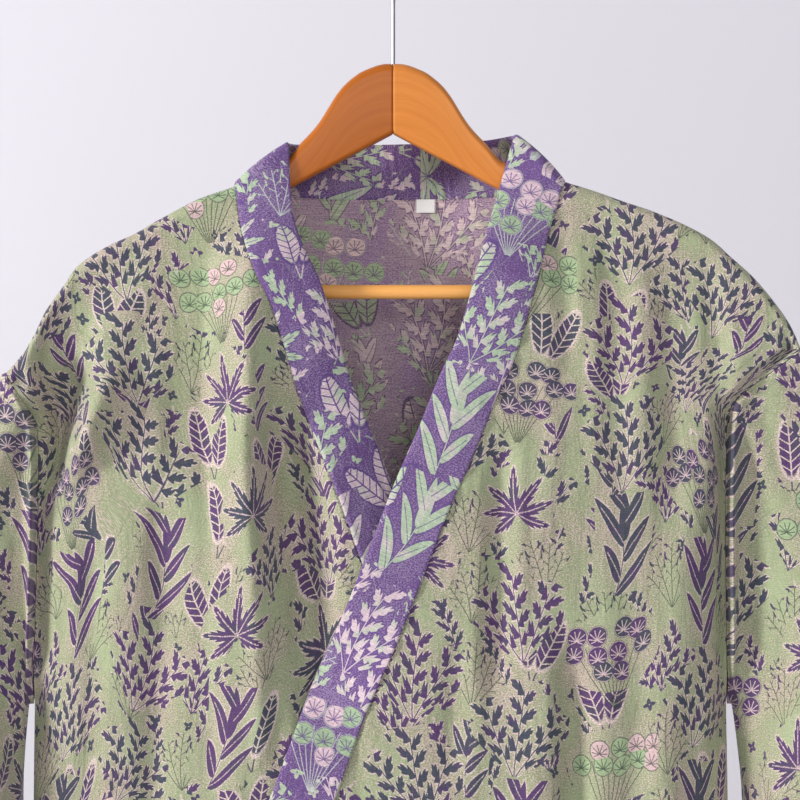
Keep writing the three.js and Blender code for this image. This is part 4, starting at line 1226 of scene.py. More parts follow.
@dataclass
class Collar:
    """One length of the band collar, from its join behind the neck to the hem.

    gathers are the middle and half width of each group of small folds behind
    the neck. The band tilts off the cloth between tilt_from and tilt_to, and
    is bowed above flat_below. fold_share is what of its width rounds off.
    """

    half: Half
    name: str
    node: str
    cut: tuple[float, float]
    flat: tuple[float, float] = (0.044, 1.42)
    area: float = 0.056
    thickness: float = 0.0028
    join: float = 1 / 6
    across: int = 26
    behind: int = 120
    bow: float = 0.002
    gathers: tuple = ((-0.004, 0.011), (0.033, 0.011))
    gather_pitch: float = 0.0066
    gather_rise: float = 0.0009
    tilt_from: float = -0.225
    tilt_to: float = -0.4
    flat_below: float = -0.42
    fold_share: float = 0.06
    pucker_pitch: float = 0.021
    pucker_rise: float = 0.0005

    def standing(self) -> tuple:
        """Seam and free edge behind the neck, from the join to the shoulder.

        Returns:
            The seam's points and the free edge's, in the order of the band's length.
        """
        half = self.half
        top, none = np.zeros(1), np.zeros
        if half is RIGHT:
            share = np.linspace(self.join, 1, self.behind)
            seam = DRAPE.back(RIGHT, top, share, none(self.behind), none(self.behind))[0]
        else:
            near = np.linspace(self.join, 0, self.behind // 6)[:-1]
            far = np.linspace(0, 1, self.behind)
            seam = np.concatenate([
                DRAPE.back(RIGHT, top, near, none(len(near)), none(len(near)))[0],
                DRAPE.back(LEFT, top, far, none(len(far)), none(len(far)))[0],
            ])
        free = np.stack([along(seam[:, 0]) for along in FREE_EDGE], axis=-1)
        for edge in (seam, free):
            edge[0, 0] -= half.sign * JOIN_OVERLAP
        return seam, free

    def lying(self, peak: np.ndarray) -> tuple:
        """Seam and free edge down the front, the band square to its seam.

        Args:
            peak: the free edge's last point behind the neck.

        Returns:
            The seam's points and the free edge's, from the shoulder to the hem.
        """
        half = self.half
        seam = DRAPE.front(half, DRAPE.falls[1:], np.zeros(1), np.zeros(1))[:, 0]
        z = seam[:, 2]
        slope = (half.seam_curve(z + 0.004) - half.seam_curve(z - 0.004)) / 0.008
        square = np.stack([np.full_like(z, -half.sign), np.zeros_like(z), half.sign * slope], axis=-1)
        square /= np.linalg.norm(square, axis=1, keepdims=True)
        free = seam + square * half.band_width
        tilted = smooth((self.tilt_from - z) / 0.11) * (1 - smooth((self.tilt_to - z) / 0.09))
        tilt = half.tilt * tilted
        free[:, 1] = DRAPE.front_depth(half, free[:, 0], free[:, 2]) + tilt
        level = half.ridge_z(half.neck_out) - z
        return seam, mix(peak, free, smooth(level / 0.03)[:, None])

    def ripple(self, seam: np.ndarray, q: np.ndarray) -> np.ndarray:
        """Rise of the gathers behind the neck and of the puckers along the seam.

        Args:
            seam: the band's seam, one XYZ a section.
            q: share of the way across the band.

        Returns:
            The rise of each section at each share of the width.
        """
        x, y, z = (seam[:, None, i:i + 1] for i in range(3))
        behind = smooth((y - 0.018) / 0.008)
        near = sum(np.exp(-(((x - middle) / half) ** 2)) for middle, half in self.gathers)
        gathers = near * np.cos(2 * np.pi * x / self.gather_pitch + 5 * q) * (1 - q) ** 0.7
        run = Grid.lengths(seam[:, None], 0)[:, :, None]
        wave = np.sin(2 * np.pi * run / self.pucker_pitch + 2.2 * np.sin(17 * run))
        pucker = wave * np.exp(-q / 0.22) * (1 - behind)
        return self.gather_rise * behind * gathers + self.pucker_rise * pucker

    def build(self, outside: bpy.types.Material) -> bpy.types.Object:
        """Args:
            outside: the finish of both its faces.

        Returns:
            The band.
        """
        half = self.half
        seam, free = self.standing()
        low_seam, low_free = self.lying(free[-1])
        seam, free = np.concatenate([seam, low_seam]), np.concatenate([free, low_free])
        path = np.gradient(seam, axis=0)
        across = free - seam
        width = np.linalg.norm(across, axis=1, keepdims=True)
        outward = np.cross(path, across)
        outward *= -half.sign / np.linalg.norm(outward, axis=1, keepdims=True)
        start = seam - across / width * BAND_OVERLAP
        bow = self.bow * smooth((seam[:, 2:] - self.flat_below) / 0.08)
        q = np.linspace(0, 1, self.across)[None, :, None]
        lift = (BAND_WALL - WALL) / 2 + bow[:, None] * 4 * q * (1 - q)
        lift = lift + self.ripple(seam, q)
        points = mix(start[:, None], free[:, None], q) + outward[:, None] * lift
        past = ((q[0, :, 0] - 1 + self.fold_share) / self.fold_share).clip(0)
        rounded = np.sqrt(np.maximum(0.05, 1 - past ** 2))
        tangent = (path / np.linalg.norm(path, axis=1, keepdims=True))[:, None]
        beyond = points - start[:, None]
        ahead = np.sum(beyond * tangent, axis=2)
        aside = np.sqrt(np.maximum(np.sum(beyond ** 2, axis=2) - ahead ** 2, 0))
        run = Grid.lengths(start[:, None], 0) + ahead
        grid = Grid(points, np.stack([aside, -run], axis=-1) + np.array(self.cut), False)
        piece = Shell(
            self.name, grid, self.thickness * rounded, outward[:, None], outside, outside
        ).build()
        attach(piece, "root")
        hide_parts(self.node)
        return piece


@dataclass
class Label:
    """The bare tape label that hangs from the back neck seam."""

    x: float = 0.024
    width: float = 0.014
    height: float = 0.010
    thickness: float = 0.0007
    curl: float = 0.0006
    steps: int = 10

    def build(self, finish: bpy.types.Material) -> bpy.types.Object:
        """Args:
            finish: the tape's finish.

        Returns:
            The label.
        """
        share = np.linspace(0, 1, self.steps)
        x = self.x + (share[None, :] - 0.5) * self.width
        z = NECK_Z(self.x) - SEAM_GAP - share[:, None] * self.height
        x, z = np.broadcast_arrays(x, z)
        inside = WALL / 2 + SEAM_GAP + self.thickness / 2
        y = DRAPE.back_depth(RIGHT, x, x, z) - inside - self.curl * share[:, None] ** 2
        grid = Grid.of(np.stack([x, y, z], axis=-1), np.zeros(self.steps), 1)
        piece = Shell("label_tape", grid, self.thickness, np.array([0, -1, 0]), finish, finish).build()
        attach(piece, "root")
        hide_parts("size_label")
        return piece


def tube(
    name: str, path: np.ndarray, radius: np.ndarray | float, sides: int, finish: bpy.types.Material
) -> bpy.types.Object:
    """Sweep a circle along a path that lies in a plane square to Y.

    Args:
        name: the object's name.
        path: the middle line, one XYZ a row.
        radius: the tube's radius, one a row or one in all.
        sides: faces round the tube.
        finish: its material.

    Returns:
        The closed tube, its ends capped by rounds of shrinking rings.
    """
    run = np.gradient(path, axis=0)
    run /= np.linalg.norm(run, axis=1, keepdims=True)
    depth = np.array([0.0, 1.0, 0.0])
    side = np.cross(run, depth)
    angle = np.linspace(0, 2 * np.pi, sides, endpoint=False)
    size = np.broadcast_to(radius, len(path))[:, None, None]
    ring = side[:, None] * np.cos(angle)[None, :, None] + depth * np.sin(angle)[None, :, None]
    points = path[:, None] + ring * size
    return lofted(name, points, finish)


def lofted(name: str, points: np.ndarray, finish: bpy.types.Material) -> bpy.types.Object:
    """Close a stack of rings into a solid.

    Args:
        name: the object's name.
        points: rings, places round each ring, and XYZ.
        finish: its material.

    Returns:
        The object, its UV the length along and round it in metres.
    """
    rings, count = points.shape[:2]
    grid = Grid.of(points, np.zeros(rings), 1, ring=True)
    along = Grid.lengths(np.concatenate([points, points[:, :1]], axis=1), 0)
    flat = np.stack([along, grid.flat[..., 0]], axis=-1)
    j, i = np.meshgrid(np.arange(rings - 1), np.arange(count), indexing="ij")
    k = (i + 1) % count
    faces = np.stack([j * count + i, j * count + k, (j + 1) * count + k, (j + 1) * count + i], -1)
    place = np.stack([
        j * (count + 1) + i, j * (count + 1) + i + 1, (j + 1) * (count + 1) + i + 1, (j + 1) * (count + 1) + i
    ], -1)
    centres = points[[0, -1]].mean(axis=1)
    vertices = np.concatenate([points.reshape(-1, 3), centres])
    around, beside = np.arange(count), (np.arange(count) + 1) % count
    first, last = rings * count, (rings - 1) * count
    caps = np.concatenate([
        np.stack([beside, around, np.full(count, first)], -1),
        np.stack([last + around, last + beside, np.full(count, first + 1)], -1),
    ])
    quads = faces.reshape(-1, 4)
    triangles = np.concatenate([quads[:, [0, 1, 2]], quads[:, [0, 2, 3]], caps])
    uv = flat.reshape(-1, 2)
    corner = place.reshape(-1, 4)
    cap_uv = np.concatenate([uv[around], uv[last + around]])[:, None].repeat(3, axis=1)
    loops = np.concatenate([uv[corner[:, [0, 1, 2]]], uv[corner[:, [0, 2, 3]]], cap_uv])
    a, b, c = (vertices[triangles[:, n]] for n in range(3))
    if np.sum(a * np.cross(b, c)) < 0:
        triangles, loops = triangles[:, ::-1], loops[:, ::-1]
    return mesh_object(name, vertices, triangles, loops.reshape(-1, 2), [finish])


@dataclass
class Hanger:
    """The shaped wooden hanger: two glued arms, a trouser bar and a wire hook."""

    rise: float = 0.092
    wire: float = 0.0015
    rail_radius: float = 0.02
    grip: float = 0.02
    bend_z: float = -0.048
    bend_length: float = 0.027
    sweep: float = np.pi * 1.12
    bar_radius: float = 0.005
    bar_z: float = -0.257
    bar_end: float = 0.213
    end_round: float = 0.35
    tip_drop: float = 0.0015
    foot_round: float = 0.003
    groove: float = 0.0006
    stations: int = 190

    def top(self, half: Half, out: np.ndarray) -> np.ndarray:
        """Height of an arm's top edge: bare in the middle, then under the cloth.

        Args:
            half: which half of the robe it carries.
            out: distances from the robe's middle.

        Returns:
            The heights.
        """
        tipped = self.tip_drop * smooth((out - 0.196) / 0.024)
        under = half.ridge_curve(out) - WALL - NECK_SEAT - tipped
        return mix(Curve(WOOD_TOP)(out), under, smooth((out - 0.066) / 0.024))

    def arm(self, half: Half, name: str, node: str, finish: bpy.types.Material) -> bpy.types.Object:
        """Make one arm: a half-round top, flat sides and a softened foot.

        Args:
            half: which half of the robe it carries.
            name: the object's name.
            node: the frame's node that it replaces.
            finish: the varnished wood.

        Returns:
            The arm.
        """
        out = WOOD_HALF_WIDTH * np.sin(np.linspace(0, np.pi / 2, self.stations))
        out = np.concatenate([[0, self.groove / 2, self.groove], out[out > self.groove]])
        foot, top = Curve(WOOD_FOOT)(out)[:, None], self.top(half, out)[:, None]
        shrink = np.sqrt(np.clip((WOOD_HALF_WIDTH - out) / WOOD_RADIUS + self.end_round, 0, 1))[:, None]
        joint = self.groove * (1 - smooth(out / self.groove))[:, None]
        foot, top = foot + joint, top - joint
        radius, chamfer = WOOD_RADIUS * shrink - joint, self.foot_round * shrink
        over = np.linspace(0, np.pi, 21)[None, :]
        left = np.linspace(np.pi, 1.5 * np.pi, 6)[None, :]
        right = np.linspace(1.5 * np.pi, 2 * np.pi, 6)[None, :]
        y = np.concatenate([
            radius * np.cos(over),
            -radius + chamfer + chamfer * np.cos(left),
            radius - chamfer + chamfer * np.cos(right),
        ], axis=1)
        z = np.concatenate([
            top - WOOD_RADIUS + radius * np.sin(over),
            foot + chamfer + chamfer * np.sin(left),
            foot + chamfer + chamfer * np.sin(right),
        ], axis=1)
        x = np.broadcast_to(half.sign * out[:, None], y.shape)
        piece = lofted(name, np.stack([x, y + DRAPE.arm_y(out)[:, None], z], axis=-1), finish)
        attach(piece, "root")
        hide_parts(node)
        return piece

    def bar(self, finish: bpy.types.Material) -> bpy.types.Object:
        """Make the round trouser bar that joins the two arms.

        Args:
            finish: the pale wood.

        Returns:
            The bar.
        """
        x = np.linspace(-self.bar_end, self.bar_end, 41)
        y, z = np.full_like(x, DRAPE.arm_y(self.bar_end)), np.full_like(x, self.bar_z)
        path = np.stack([x, y, z], axis=-1)
        piece = tube("trouser_bar", path, self.bar_radius, 40, finish)
        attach(piece, "root")
        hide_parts("hanger_bar")
        return piece

    def hook_path(self) -> np.ndarray:
        """The wire's middle line: a straight stem, a bend aside, a round to the tip.

        The bend is a cubic between the stem and the round, with their headings.

        Returns:
            The line's points, from the foot to the tip.
        """
        radius = self.rail_radius + self.wire
        middle_z = self.wire - radius
        join = -np.pi / 6
        stem_z = np.linspace(-self.rise - self.grip, self.bend_z, 30)[:-1]
        stem = np.stack([np.zeros_like(stem_z), np.zeros_like(stem_z), stem_z], axis=-1)
        end = np.array([radius * np.cos(join), 0, middle_z + radius * np.sin(join)])
        heading = np.array([-np.sin(join), 0, np.cos(join)])
        begin = np.array([0, 0, self.bend_z])
        first = begin + np.array([0, 0, 0.4 * self.bend_length])
        second = end - 0.4 * self.bend_length * heading
        s = np.linspace(0, 1, 30)[:-1, None]
        bend = (1 - s) ** 3 * begin + 3 * s * (1 - s) ** 2 * first
        bend = bend + 3 * s ** 2 * (1 - s) * second + s ** 3 * end
        angle = np.linspace(join, self.sweep, 90)
        arc_x, arc_z = radius * np.cos(angle), middle_z + radius * np.sin(angle)
        arc = np.stack([arc_x, np.zeros_like(angle), arc_z], axis=-1)
        return np.concatenate([stem, bend, arc])

    def hook(self, finish: bpy.types.Material) -> bpy.types.Object:
        """Make the bent wire hook, its tip rounded.

        Args:
            finish: the wire's steel.

        Returns:
            The hook.
        """
        path = self.hook_path()
        length = np.cumsum(np.concatenate([[0], np.linalg.norm(np.diff(path, axis=0), axis=1)]))
        left = np.clip((length[-1] - length) / self.wire, 0, 1)
        radius = self.wire * np.sqrt(np.maximum(0.02, 1 - (1 - left) ** 2))
        piece = tube("wire_hook", path, radius, 24, finish)
        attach(piece, "root")
        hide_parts("hanger_hook")
        return piece


@dataclass
class Stitches:
    """A row of thread stitches that lies on a seam or hem."""

    name: str
    pitch: float = 0.0034
    long: float = 0.0024
    radius: float = 0.00022
    lift: float = 0.00012

    def build(self, rows: list, finish: bpy.types.Material) -> bpy.types.Object:
        """Make all the rows as one piece.

        Each stitch is a slim eight-sided bead: a point at each end and a
        square section in its middle.

        Args:
            rows: pairs of a path and the cloth's outward direction along it.
            finish: the thread's finish.

        Returns:
            The piece.
        """
        beads, faces, total = [], [], 0
        corners = np.array([
            [0, 2, 3], [0, 3, 4], [0, 4, 5], [0, 5, 2], [1, 3, 2], [1, 4, 3], [1, 5, 4], [1, 2, 5],
        ])
        for path, outward in rows:
            length = Grid.lengths(path[:, None], 0)[:, 0]
            middle = np.arange(self.pitch, length[-1] - self.pitch, self.pitch)
            count = len(middle)

            def along(values: np.ndarray, at: np.ndarray) -> np.ndarray:
                """Read a table of vectors at lengths along the path."""
                return np.stack([np.interp(at, length, column) for column in values.T], axis=-1)

            out = along(outward, middle)
            out /= np.linalg.norm(out, axis=1, keepdims=True)
            head = along(path, middle + self.long / 2)
            tail = along(path, middle - self.long / 2)
            run = head - tail
            side = np.cross(run, out)
            side *= self.radius / np.linalg.norm(side, axis=1, keepdims=True)
            up = out * self.radius
            centre = (head + tail) / 2 + out * self.lift
            bead = np.stack([head, tail, centre + side, centre + up, centre - side, centre - up], axis=1)
            beads.append(bead.reshape(-1, 3))
            faces.append((corners[None] + 6 * (np.arange(count) + total)[:, None, None]).reshape(-1, 3))
            total += count
        vertices, triangles = np.concatenate(beads), np.concatenate(faces)
        piece = mesh_object(self.name, vertices, triangles, np.zeros((triangles.size, 2)), [finish])
        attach(piece, "root")
        return piece


def colour(code: str) -> tuple:
    """Turn a screen colour into the linear colour that a shader wants.

    Args:
        code: six hex digits.

    Returns:
        Red, green, blue and an alpha of 1.
    """
    parts = np.array([int(code[i:i + 2], 16) / 255 for i in (0, 2, 4)])
    linear = np.where(parts <= 0.04045, parts / 12.92, ((parts + 0.055) / 1.055) ** 2.4)
    return (*linear.tolist(), 1.0)


class Value:
    """A number in a shader tree, so that a pattern is written as arithmetic."""

    def __init__(self, tree: "Tree", socket: bpy.types.NodeSocket) -> None:
        """Hold the tree and the output socket that carries the number."""
        self.tree, self.socket = tree, socket

    def __add__(self, other: "Value | float") -> "Value":
        """Sum of two numbers."""
        return self.tree.math("ADD", self, other)

    def __sub__(self, other: "Value | float") -> "Value":
        """Difference of two numbers."""
        return self.tree.math("SUBTRACT", self, other)

    def __rsub__(self, other: float) -> "Value":
        """Difference of a constant and this number."""
        return self.tree.math("SUBTRACT", other, self)

    def __mul__(self, other: "Value | float") -> "Value":
        """Product of two numbers."""
        return self.tree.math("MULTIPLY", self, other)

    def __truediv__(self, other: "Value | float") -> "Value":
        """Quotient of two numbers."""
        return self.tree.math("DIVIDE", self, other)

    def __abs__(self) -> "Value":
        """Size of the number without its sign."""
        return self.tree.math("ABSOLUTE", self)

    def __lt__(self, other: "Value | float") -> "Value":
        """1 where this number is the smaller, else 0."""
        return self.tree.math("LESS_THAN", self, other)

    def __gt__(self, other: "Value | float") -> "Value":
        """1 where this number is the larger, else 0."""
        return self.tree.math("GREATER_THAN", self, other)

    def within(self, edge: "Value | float", soft: float = 0.22) -> "Value":
        """1 where this number is well under an edge, easing to 0 past it."""
        below = self.tree.math("SUBTRACT", edge, self)
        return self.tree.math("MULTIPLY_ADD", below, 0.5 / soft, 0.5, clamp=True)

    def either(self, other: "Value") -> "Value":
        """The larger of two numbers."""
        return self.tree.math("MAXIMUM", self, other)

    def between(self, low: float, high: float) -> "Value":
        """1 where this number lies between two others, else 0."""
        return (self > low) * (self < high)


class Tree:
    """A shader tree that is built by function calls."""

    def __init__(self, tree: bpy.types.NodeTree) -> None:
        """Start on a node tree and empty it."""
        self.tree = tree
        tree.nodes.clear()

    def node(self, kind: str, inputs: dict, **settings: str | bool) -> bpy.types.Node:
        """Add a node.

        Args:
            kind: the node's type.
            inputs: for each input's name or number, a Value, a socket or a constant.
            settings: the node's own options.

        Returns:
            The node.
        """
        node = self.tree.nodes.new(kind)
        for name, setting in settings.items():
            setattr(node, name, setting)
        for key, given in inputs.items():
            source = given.socket if isinstance(given, Value) else given
            if isinstance(source, bpy.types.NodeSocket):
                self.tree.links.new(source, node.inputs[key])
            else:
                node.inputs[key].default_value = source
        return node

    def group(self, shared: bpy.types.NodeTree, *sources: bpy.types.NodeSocket) -> bpy.types.Node:
        """Add a shared group and feed its inputs in order.

        Args:
            shared: the group's tree.
            sources: what feeds each of its inputs.

        Returns:
            The group's node.
        """
        node = self.tree.nodes.new("ShaderNodeGroup")
        node.node_tree = shared
        for source, entry in zip(sources, node.inputs):
            self.tree.links.new(source, entry)
        return node

    def math(self, operation: str, *values: Value | float, clamp: bool = False) -> Value:
        """Add a math node on one, two or three numbers."""
        node = self.node("ShaderNodeMath", dict(enumerate(values)), operation=operation, use_clamp=clamp)
        return Value(self, node.outputs[0])

    def point(self, x: Value | float, y: Value | float, z: Value | float = 0.0) -> bpy.types.NodeSocket:
        """Join three numbers into a vector."""
        return self.node("ShaderNodeCombineXYZ", {0: x, 1: y, 2: z}).outputs[0]

    def parts(self, vector: bpy.types.NodeSocket) -> tuple:
        """Take a vector or a colour apart into three numbers."""
        split = self.node("ShaderNodeSeparateXYZ", {0: vector})
        return tuple(Value(self, split.outputs[i]) for i in range(3))

    def noise(self, place: bpy.types.NodeSocket, detail: float = 2.0, rough: float = 0.5) -> Value:
        """A cloudy number from 0 to 1 that changes over about one unit."""
        inputs = {"Vector": place, "Scale": 1.0, "Detail": detail, "Roughness": rough}
        return Value(self, self.node("ShaderNodeTexNoise", inputs).outputs["Fac"])

    def cloud(self, place: tuple, scale: tuple, detail: float = 2.0, rough: float = 0.5) -> Value:
        """A cloudy number stretched by a scale for each of its two directions."""
        stretched = self.point(place[0] * scale[0], place[1] * scale[1])
        return self.noise(stretched, detail, rough)

    def random(self, x: Value, y: Value, seed: float) -> tuple:
        """Three random numbers from 0 to 1 for a cell."""
        chance = self.node("ShaderNodeTexWhiteNoise", {"Vector": self.point(x, y, seed)})
        return self.parts(chance.outputs["Color"])

    def polar(self, p: Value, q: Value) -> tuple:
        """Distance from the origin, and the angle from straight up."""
        distance = self.math("SQRT", self.math("MULTIPLY_ADD", p, p, q * q))
        return distance, self.math("ARCTAN2", p, q)

    def mix(self, share: Value | float, first: object, second: object) -> bpy.types.NodeSocket:
        """Blend two colours."""
        node = self.node("ShaderNodeMix", {0: share, 6: first, 7: second}, data_type="RGBA")
        return node.outputs[2]


@dataclass
class Marks:
    """What a motif draws: filled shapes, their pale veins, thin lines, and its hull."""

    fill: Value
    pale: Value
    line: Value
    hull: Value

    def only(self, chosen: Value) -> "Marks":
        """Keep the marks where a number is 1."""
        return Marks(*(mark * chosen for mark in (self.fill, self.pale, self.line, self.hull)))

    def joined(self, other: "Marks") -> "Marks":
        """Put two sets of marks together."""
        return Marks(
            self.fill.either(other.fill), self.pale.either(other.pale),
            self.line.either(other.line), self.hull.either(other.hull),
        )


@dataclass
class Leafage:
    """Leaves set at a slant along stems that spread from one point.

    Sizes are in millimetres and angles in radians. With a step of 0 there is
    one upright stem. stagger is how far one side's leaves start past the
    other's, and shortest and vary give each leaf's length as a share of leaf.
    """

    spread: float = 0.9
    step: float = 0.5
    start: float = 14.0
    length: float = 74.0
    shorter: float = 12.0
    pitch: float = 14.0
    leaf: float = 17.5
    width: float = 4.9
    slant: float = 1.0
    teeth: float = 2.6
    rib: float = 0.0
    edge: float = 0.75
    stem: float = 0.42
    tip: float = 0.55
    stagger: float = 0.42
    shortest: float = 0.72
    vary: float = 0.45

    def lens(self, t: Tree, share: Value) -> Value:
        """Half width of a leaf at a share of its length.

        Args:
            t: the tree.
            share: share of the way along the leaf.

        Returns:
            The half width, in millimetres.
        """
        left = t.math("POWER", t.math("SUBTRACT", 1.0, share, clamp=True), 0.8)
        lens = t.math("POWER", share, 0.45) * left * (1.6 * self.width)
        if self.teeth:
            lens = lens * (t.math("FRACT", share * self.teeth) * 0.75 + 0.5)
        return lens

    def draw(self, t: Tree, p: Value, q: Value) -> Marks:
        """Draw the leaves and the stems.

        Along a stem the cloth is cut into slanted strips, r - slant |side|,
        one leaf a strip. With s the share of the way along the leaf, its half
        width is width s^0.45 (1 - s)^0.8, and teeth widen it in even steps.

        Args:
            t: the tree.
            p: place across, from the root of the stems.
            q: place up from the root.

        Returns:
            The marks.
        """
        if self.step:
            r, angle = t.polar(p, q)
            number = t.math("ROUND", angle / self.step)
            offset = (angle - number * self.step) * r
            reach = self.length - abs(number) * self.shorter
            open_to = (abs(angle) < self.spread) * (r < reach)
            of_stem = number * 2.0
        else:
            r, offset, reach, of_stem = q, p, t.math("ADD", self.length, 0.0), 0.0
            open_to = (r < reach) * (r > 0.0)
        side = abs(offset)
        ahead = (offset > 0.0) * (self.pitch * self.stagger)
        strip = (r - side * self.slant + ahead) / self.pitch
        squash = float(1 / np.hypot(1.0, self.slant))
        across = abs(t.math("FRACT", strip) - 0.5) * (self.pitch * squash)
        chance, _, _ = t.random(t.math("FLOOR", strip), (offset > 0.0) + of_stem, 7.0)
        reach_out = squash * self.leaf
        share = side / (chance * (self.vary * reach_out) + self.shortest * reach_out)
        lens = self.lens(t, share)
        foot = t.math("FLOOR", strip) * self.pitch
        kept = open_to * foot.between(self.start - self.pitch, self.length - self.tip * self.leaf)
        fill = across.within(lens) * kept
        around = across.within(lens + self.edge) * kept * (share < 1.0)
        if not self.step:
            last = (r - (self.length - self.leaf)) / self.leaf
            crown = self.lens(t, last) * (last > 0.0)
            fill = fill.either(side.within(crown))
            around = around.either(side.within(crown + self.edge) * (last > 0.0))
        rib = across.within(self.rib) * fill * (share < 0.8) if self.rib else fill * 0.0
        bare = open_to * (r < reach - self.leaf * 0.5)
        stem = side.within(self.stem) * bare
        beside = side.within(self.stem + self.edge) * bare
        pale = (around.either(beside) - fill.either(stem)).either(rib)
        hull = open_to * (side < self.leaf * squash + 1.5) * (r > 3.0)
        return Marks(fill.either(stem), pale, stem * 0.0, hull)


@dataclass
class DeepCut:
    """A leaf of long, toothed lobes that spread all round, in millimetres."""

    step: float = 0.7
    spread: float = 2.5
    length: float = 36.0
    shorter: float = 3.4
    width: float = 5.2
    teeth: float = 4.4
    rib: float = 0.4
    edge: float = 0.8

    def draw(self, t: Tree, p: Value, q: Value) -> Marks:
        """Draw the lobes with a pale rib each and a pale edge.

        With s = (r - side) over the lobe's length, the half width is
        width (1 - s)^0.7 times a saw tooth that grows towards the tip.

        Args:
            t: the tree.
            p: place across, from the leaf's foot.
            q: place up from the foot.

        Returns:
            The marks.
        """
        r, angle = t.polar(p, q)
        lobe = t.math("ROUND", angle / self.step)
        side = abs((angle - lobe * self.step) * r)
        reach = self.length - abs(lobe) * self.shorter
        share = (r - side * 1.1) / reach
        saw = t.math("FRACT", share * self.teeth)
        left = t.math("SUBTRACT", 1.0, share, clamp=True)
        half = t.math("POWER", left, 0.7) * (saw * 0.62 + 0.72) * self.width
        open_to = abs(angle) < self.spread
        fill = side.within(half) * open_to
        around = side.within(half + self.edge) * open_to * (share < 1.02)
        ribs = side.within(self.rib) * (r < reach * 0.82) * open_to
        hull = open_to * (r < reach + 2.0)
        return Marks(fill, (around - fill).either(ribs), fill * 0.0, hull)


@dataclass
class Segmented:
    """A pair of oval leaves parted by pale veins, leaning away from each other.

    Sizes are in millimetres. vee is how steeply the veins rise from the rib,
    scallop how deep the edge dips at each, and vein its share of the gap.
    """

    out: float = 9.5
    lean: float = 0.28
    long: float = 21.0
    wide: float = 8.2
    gap: float = 6.4
    edge: float = 0.11
    vee: float = 0.75
    scallop: float = 0.16
    vein: float = 0.08
    rib: float = 0.5
    stalk: float = 12.0

    def draw(self, t: Tree, p: Value, q: Value) -> Marks:
        """Draw both leaves, the second as the first's mirror image.

        Args:
            t: the tree.
            p: place across.
            q: place up.

        Returns:
            The leaves' marks.
        """
        x = abs(p) - self.out
        sine, cosine = float(np.sin(self.lean)), float(np.cos(self.lean))
        a = x * cosine - q * sine
        b = x * sine + q * cosine
        rung = t.math("FRACT", (b - abs(a) * self.vee) / self.gap)
        scallop = t.math("PINGPONG", rung, 0.5) * self.scallop
        inside, _ = t.polar(a / self.wide, b / self.long)
        leaf = (inside - scallop).within(0.92, 0.03)
        around = inside.within(1.0 + self.edge, 0.03)
        vein = abs(rung - 0.5)
        veins = vein.within(self.vein, 0.03).either(abs(a).within(self.rib)) * leaf
        foot = b.between(-self.long - self.stalk, -self.long + 2.0)
        stem = abs(a).within(self.rib) * foot
        fill = leaf * (1.0 - veins)
        return Marks(fill.either(stem), (around - fill).either(veins), stem * 0.0, inside < 1.4)


@dataclass
class Discs:
    """A dome of round leaves on thin stems that meet at a root, in millimetres.

    vein_foot is how low the veins meet, as a share of the radius. fan and
    stalk_fan are half angles of what the veins and the stems spread over.
    """

    pitch: float = 15.4
    radius: float = 7.5
    dome_up: float = 8.0
    dome_wide: float = 36.0
    dome_high: float = 22.0
    root: float = 40.0
    spokes: float = 11.0
    fan: float = 2.4
    vein_foot: float = 0.34
    vein: float = 0.34
    rim: float = 0.4
    stalk: float = 0.3
    stalk_step: float = 0.13
    stalk_fan: float = 0.6

    def draw(self, t: Tree, p: Value, q: Value, chance: Value) -> tuple:
        """Draw the round leaves, each whole, and the stems below them.

        The veins of a round leaf spread upwards from a point low in it.

        Args:
            t: the tree.
            p: place across.
            q: place up.
            chance: a random number for the clump.

        Returns:
            The marks, and a random number for each round leaf.
        """
        shift = chance * 37.0
        cells = t.node("ShaderNodeTexVoronoi", {
            "Vector": t.point(p / self.pitch + shift, q / self.pitch), "Scale": 1.0, "Randomness": 0.5,
        }, voronoi_dimensions="2D")
        centre_x, centre_y, _ = t.parts(cells.outputs["Position"])
        leaf_x, leaf_y = (centre_x - shift) * self.pitch, centre_y * self.pitch
        dome, _ = t.polar(leaf_x / self.dome_wide, (leaf_y - self.dome_up) / self.dome_high)
        inside = dome < 1.0
        x, y = p - leaf_x, q - leaf_y
        far, _ = t.polar(x, y)
        near, turn = t.polar(x, y + self.radius * self.vein_foot)
        disc = far.within(self.radius) * inside
        rim = abs(far - self.radius).within(self.rim) * inside
        spoke = abs(t.math("FRACT", turn * (self.spokes / (2 * np.pi))) - 0.5)
        width = spoke * near * (2 * np.pi / self.spokes)
        open_to = (abs(turn) < self.fan) * (near < self.radius) * (far < self.radius * 0.84)
        spokes = width.within(self.vein).either(near.within(1.3)) * open_to * disc
        root_r, root_angle = t.polar(p, q + self.root)
        stalk = t.math("ROUND", root_angle / self.stalk_step)
        beside = abs((root_angle - stalk * self.stalk_step) * root_r)
        stalks = beside.within(self.stalk) * (abs(root_angle) < self.stalk_fan)
        stalks = stalks * (root_r > 3.0) * (q < self.dome_up) * (1.0 - disc)
        hull_r, _ = t.polar(p / (self.dome_wide + 3.0), (q - self.dome_up + 4.0) / (self.dome_high + 7.0))
        marks = Marks(disc, disc * 0.0, rim.either(spokes).either(stalks), hull_r < 1.0)
        tint, _, _ = t.parts(cells.outputs["Color"])
        return marks, tint


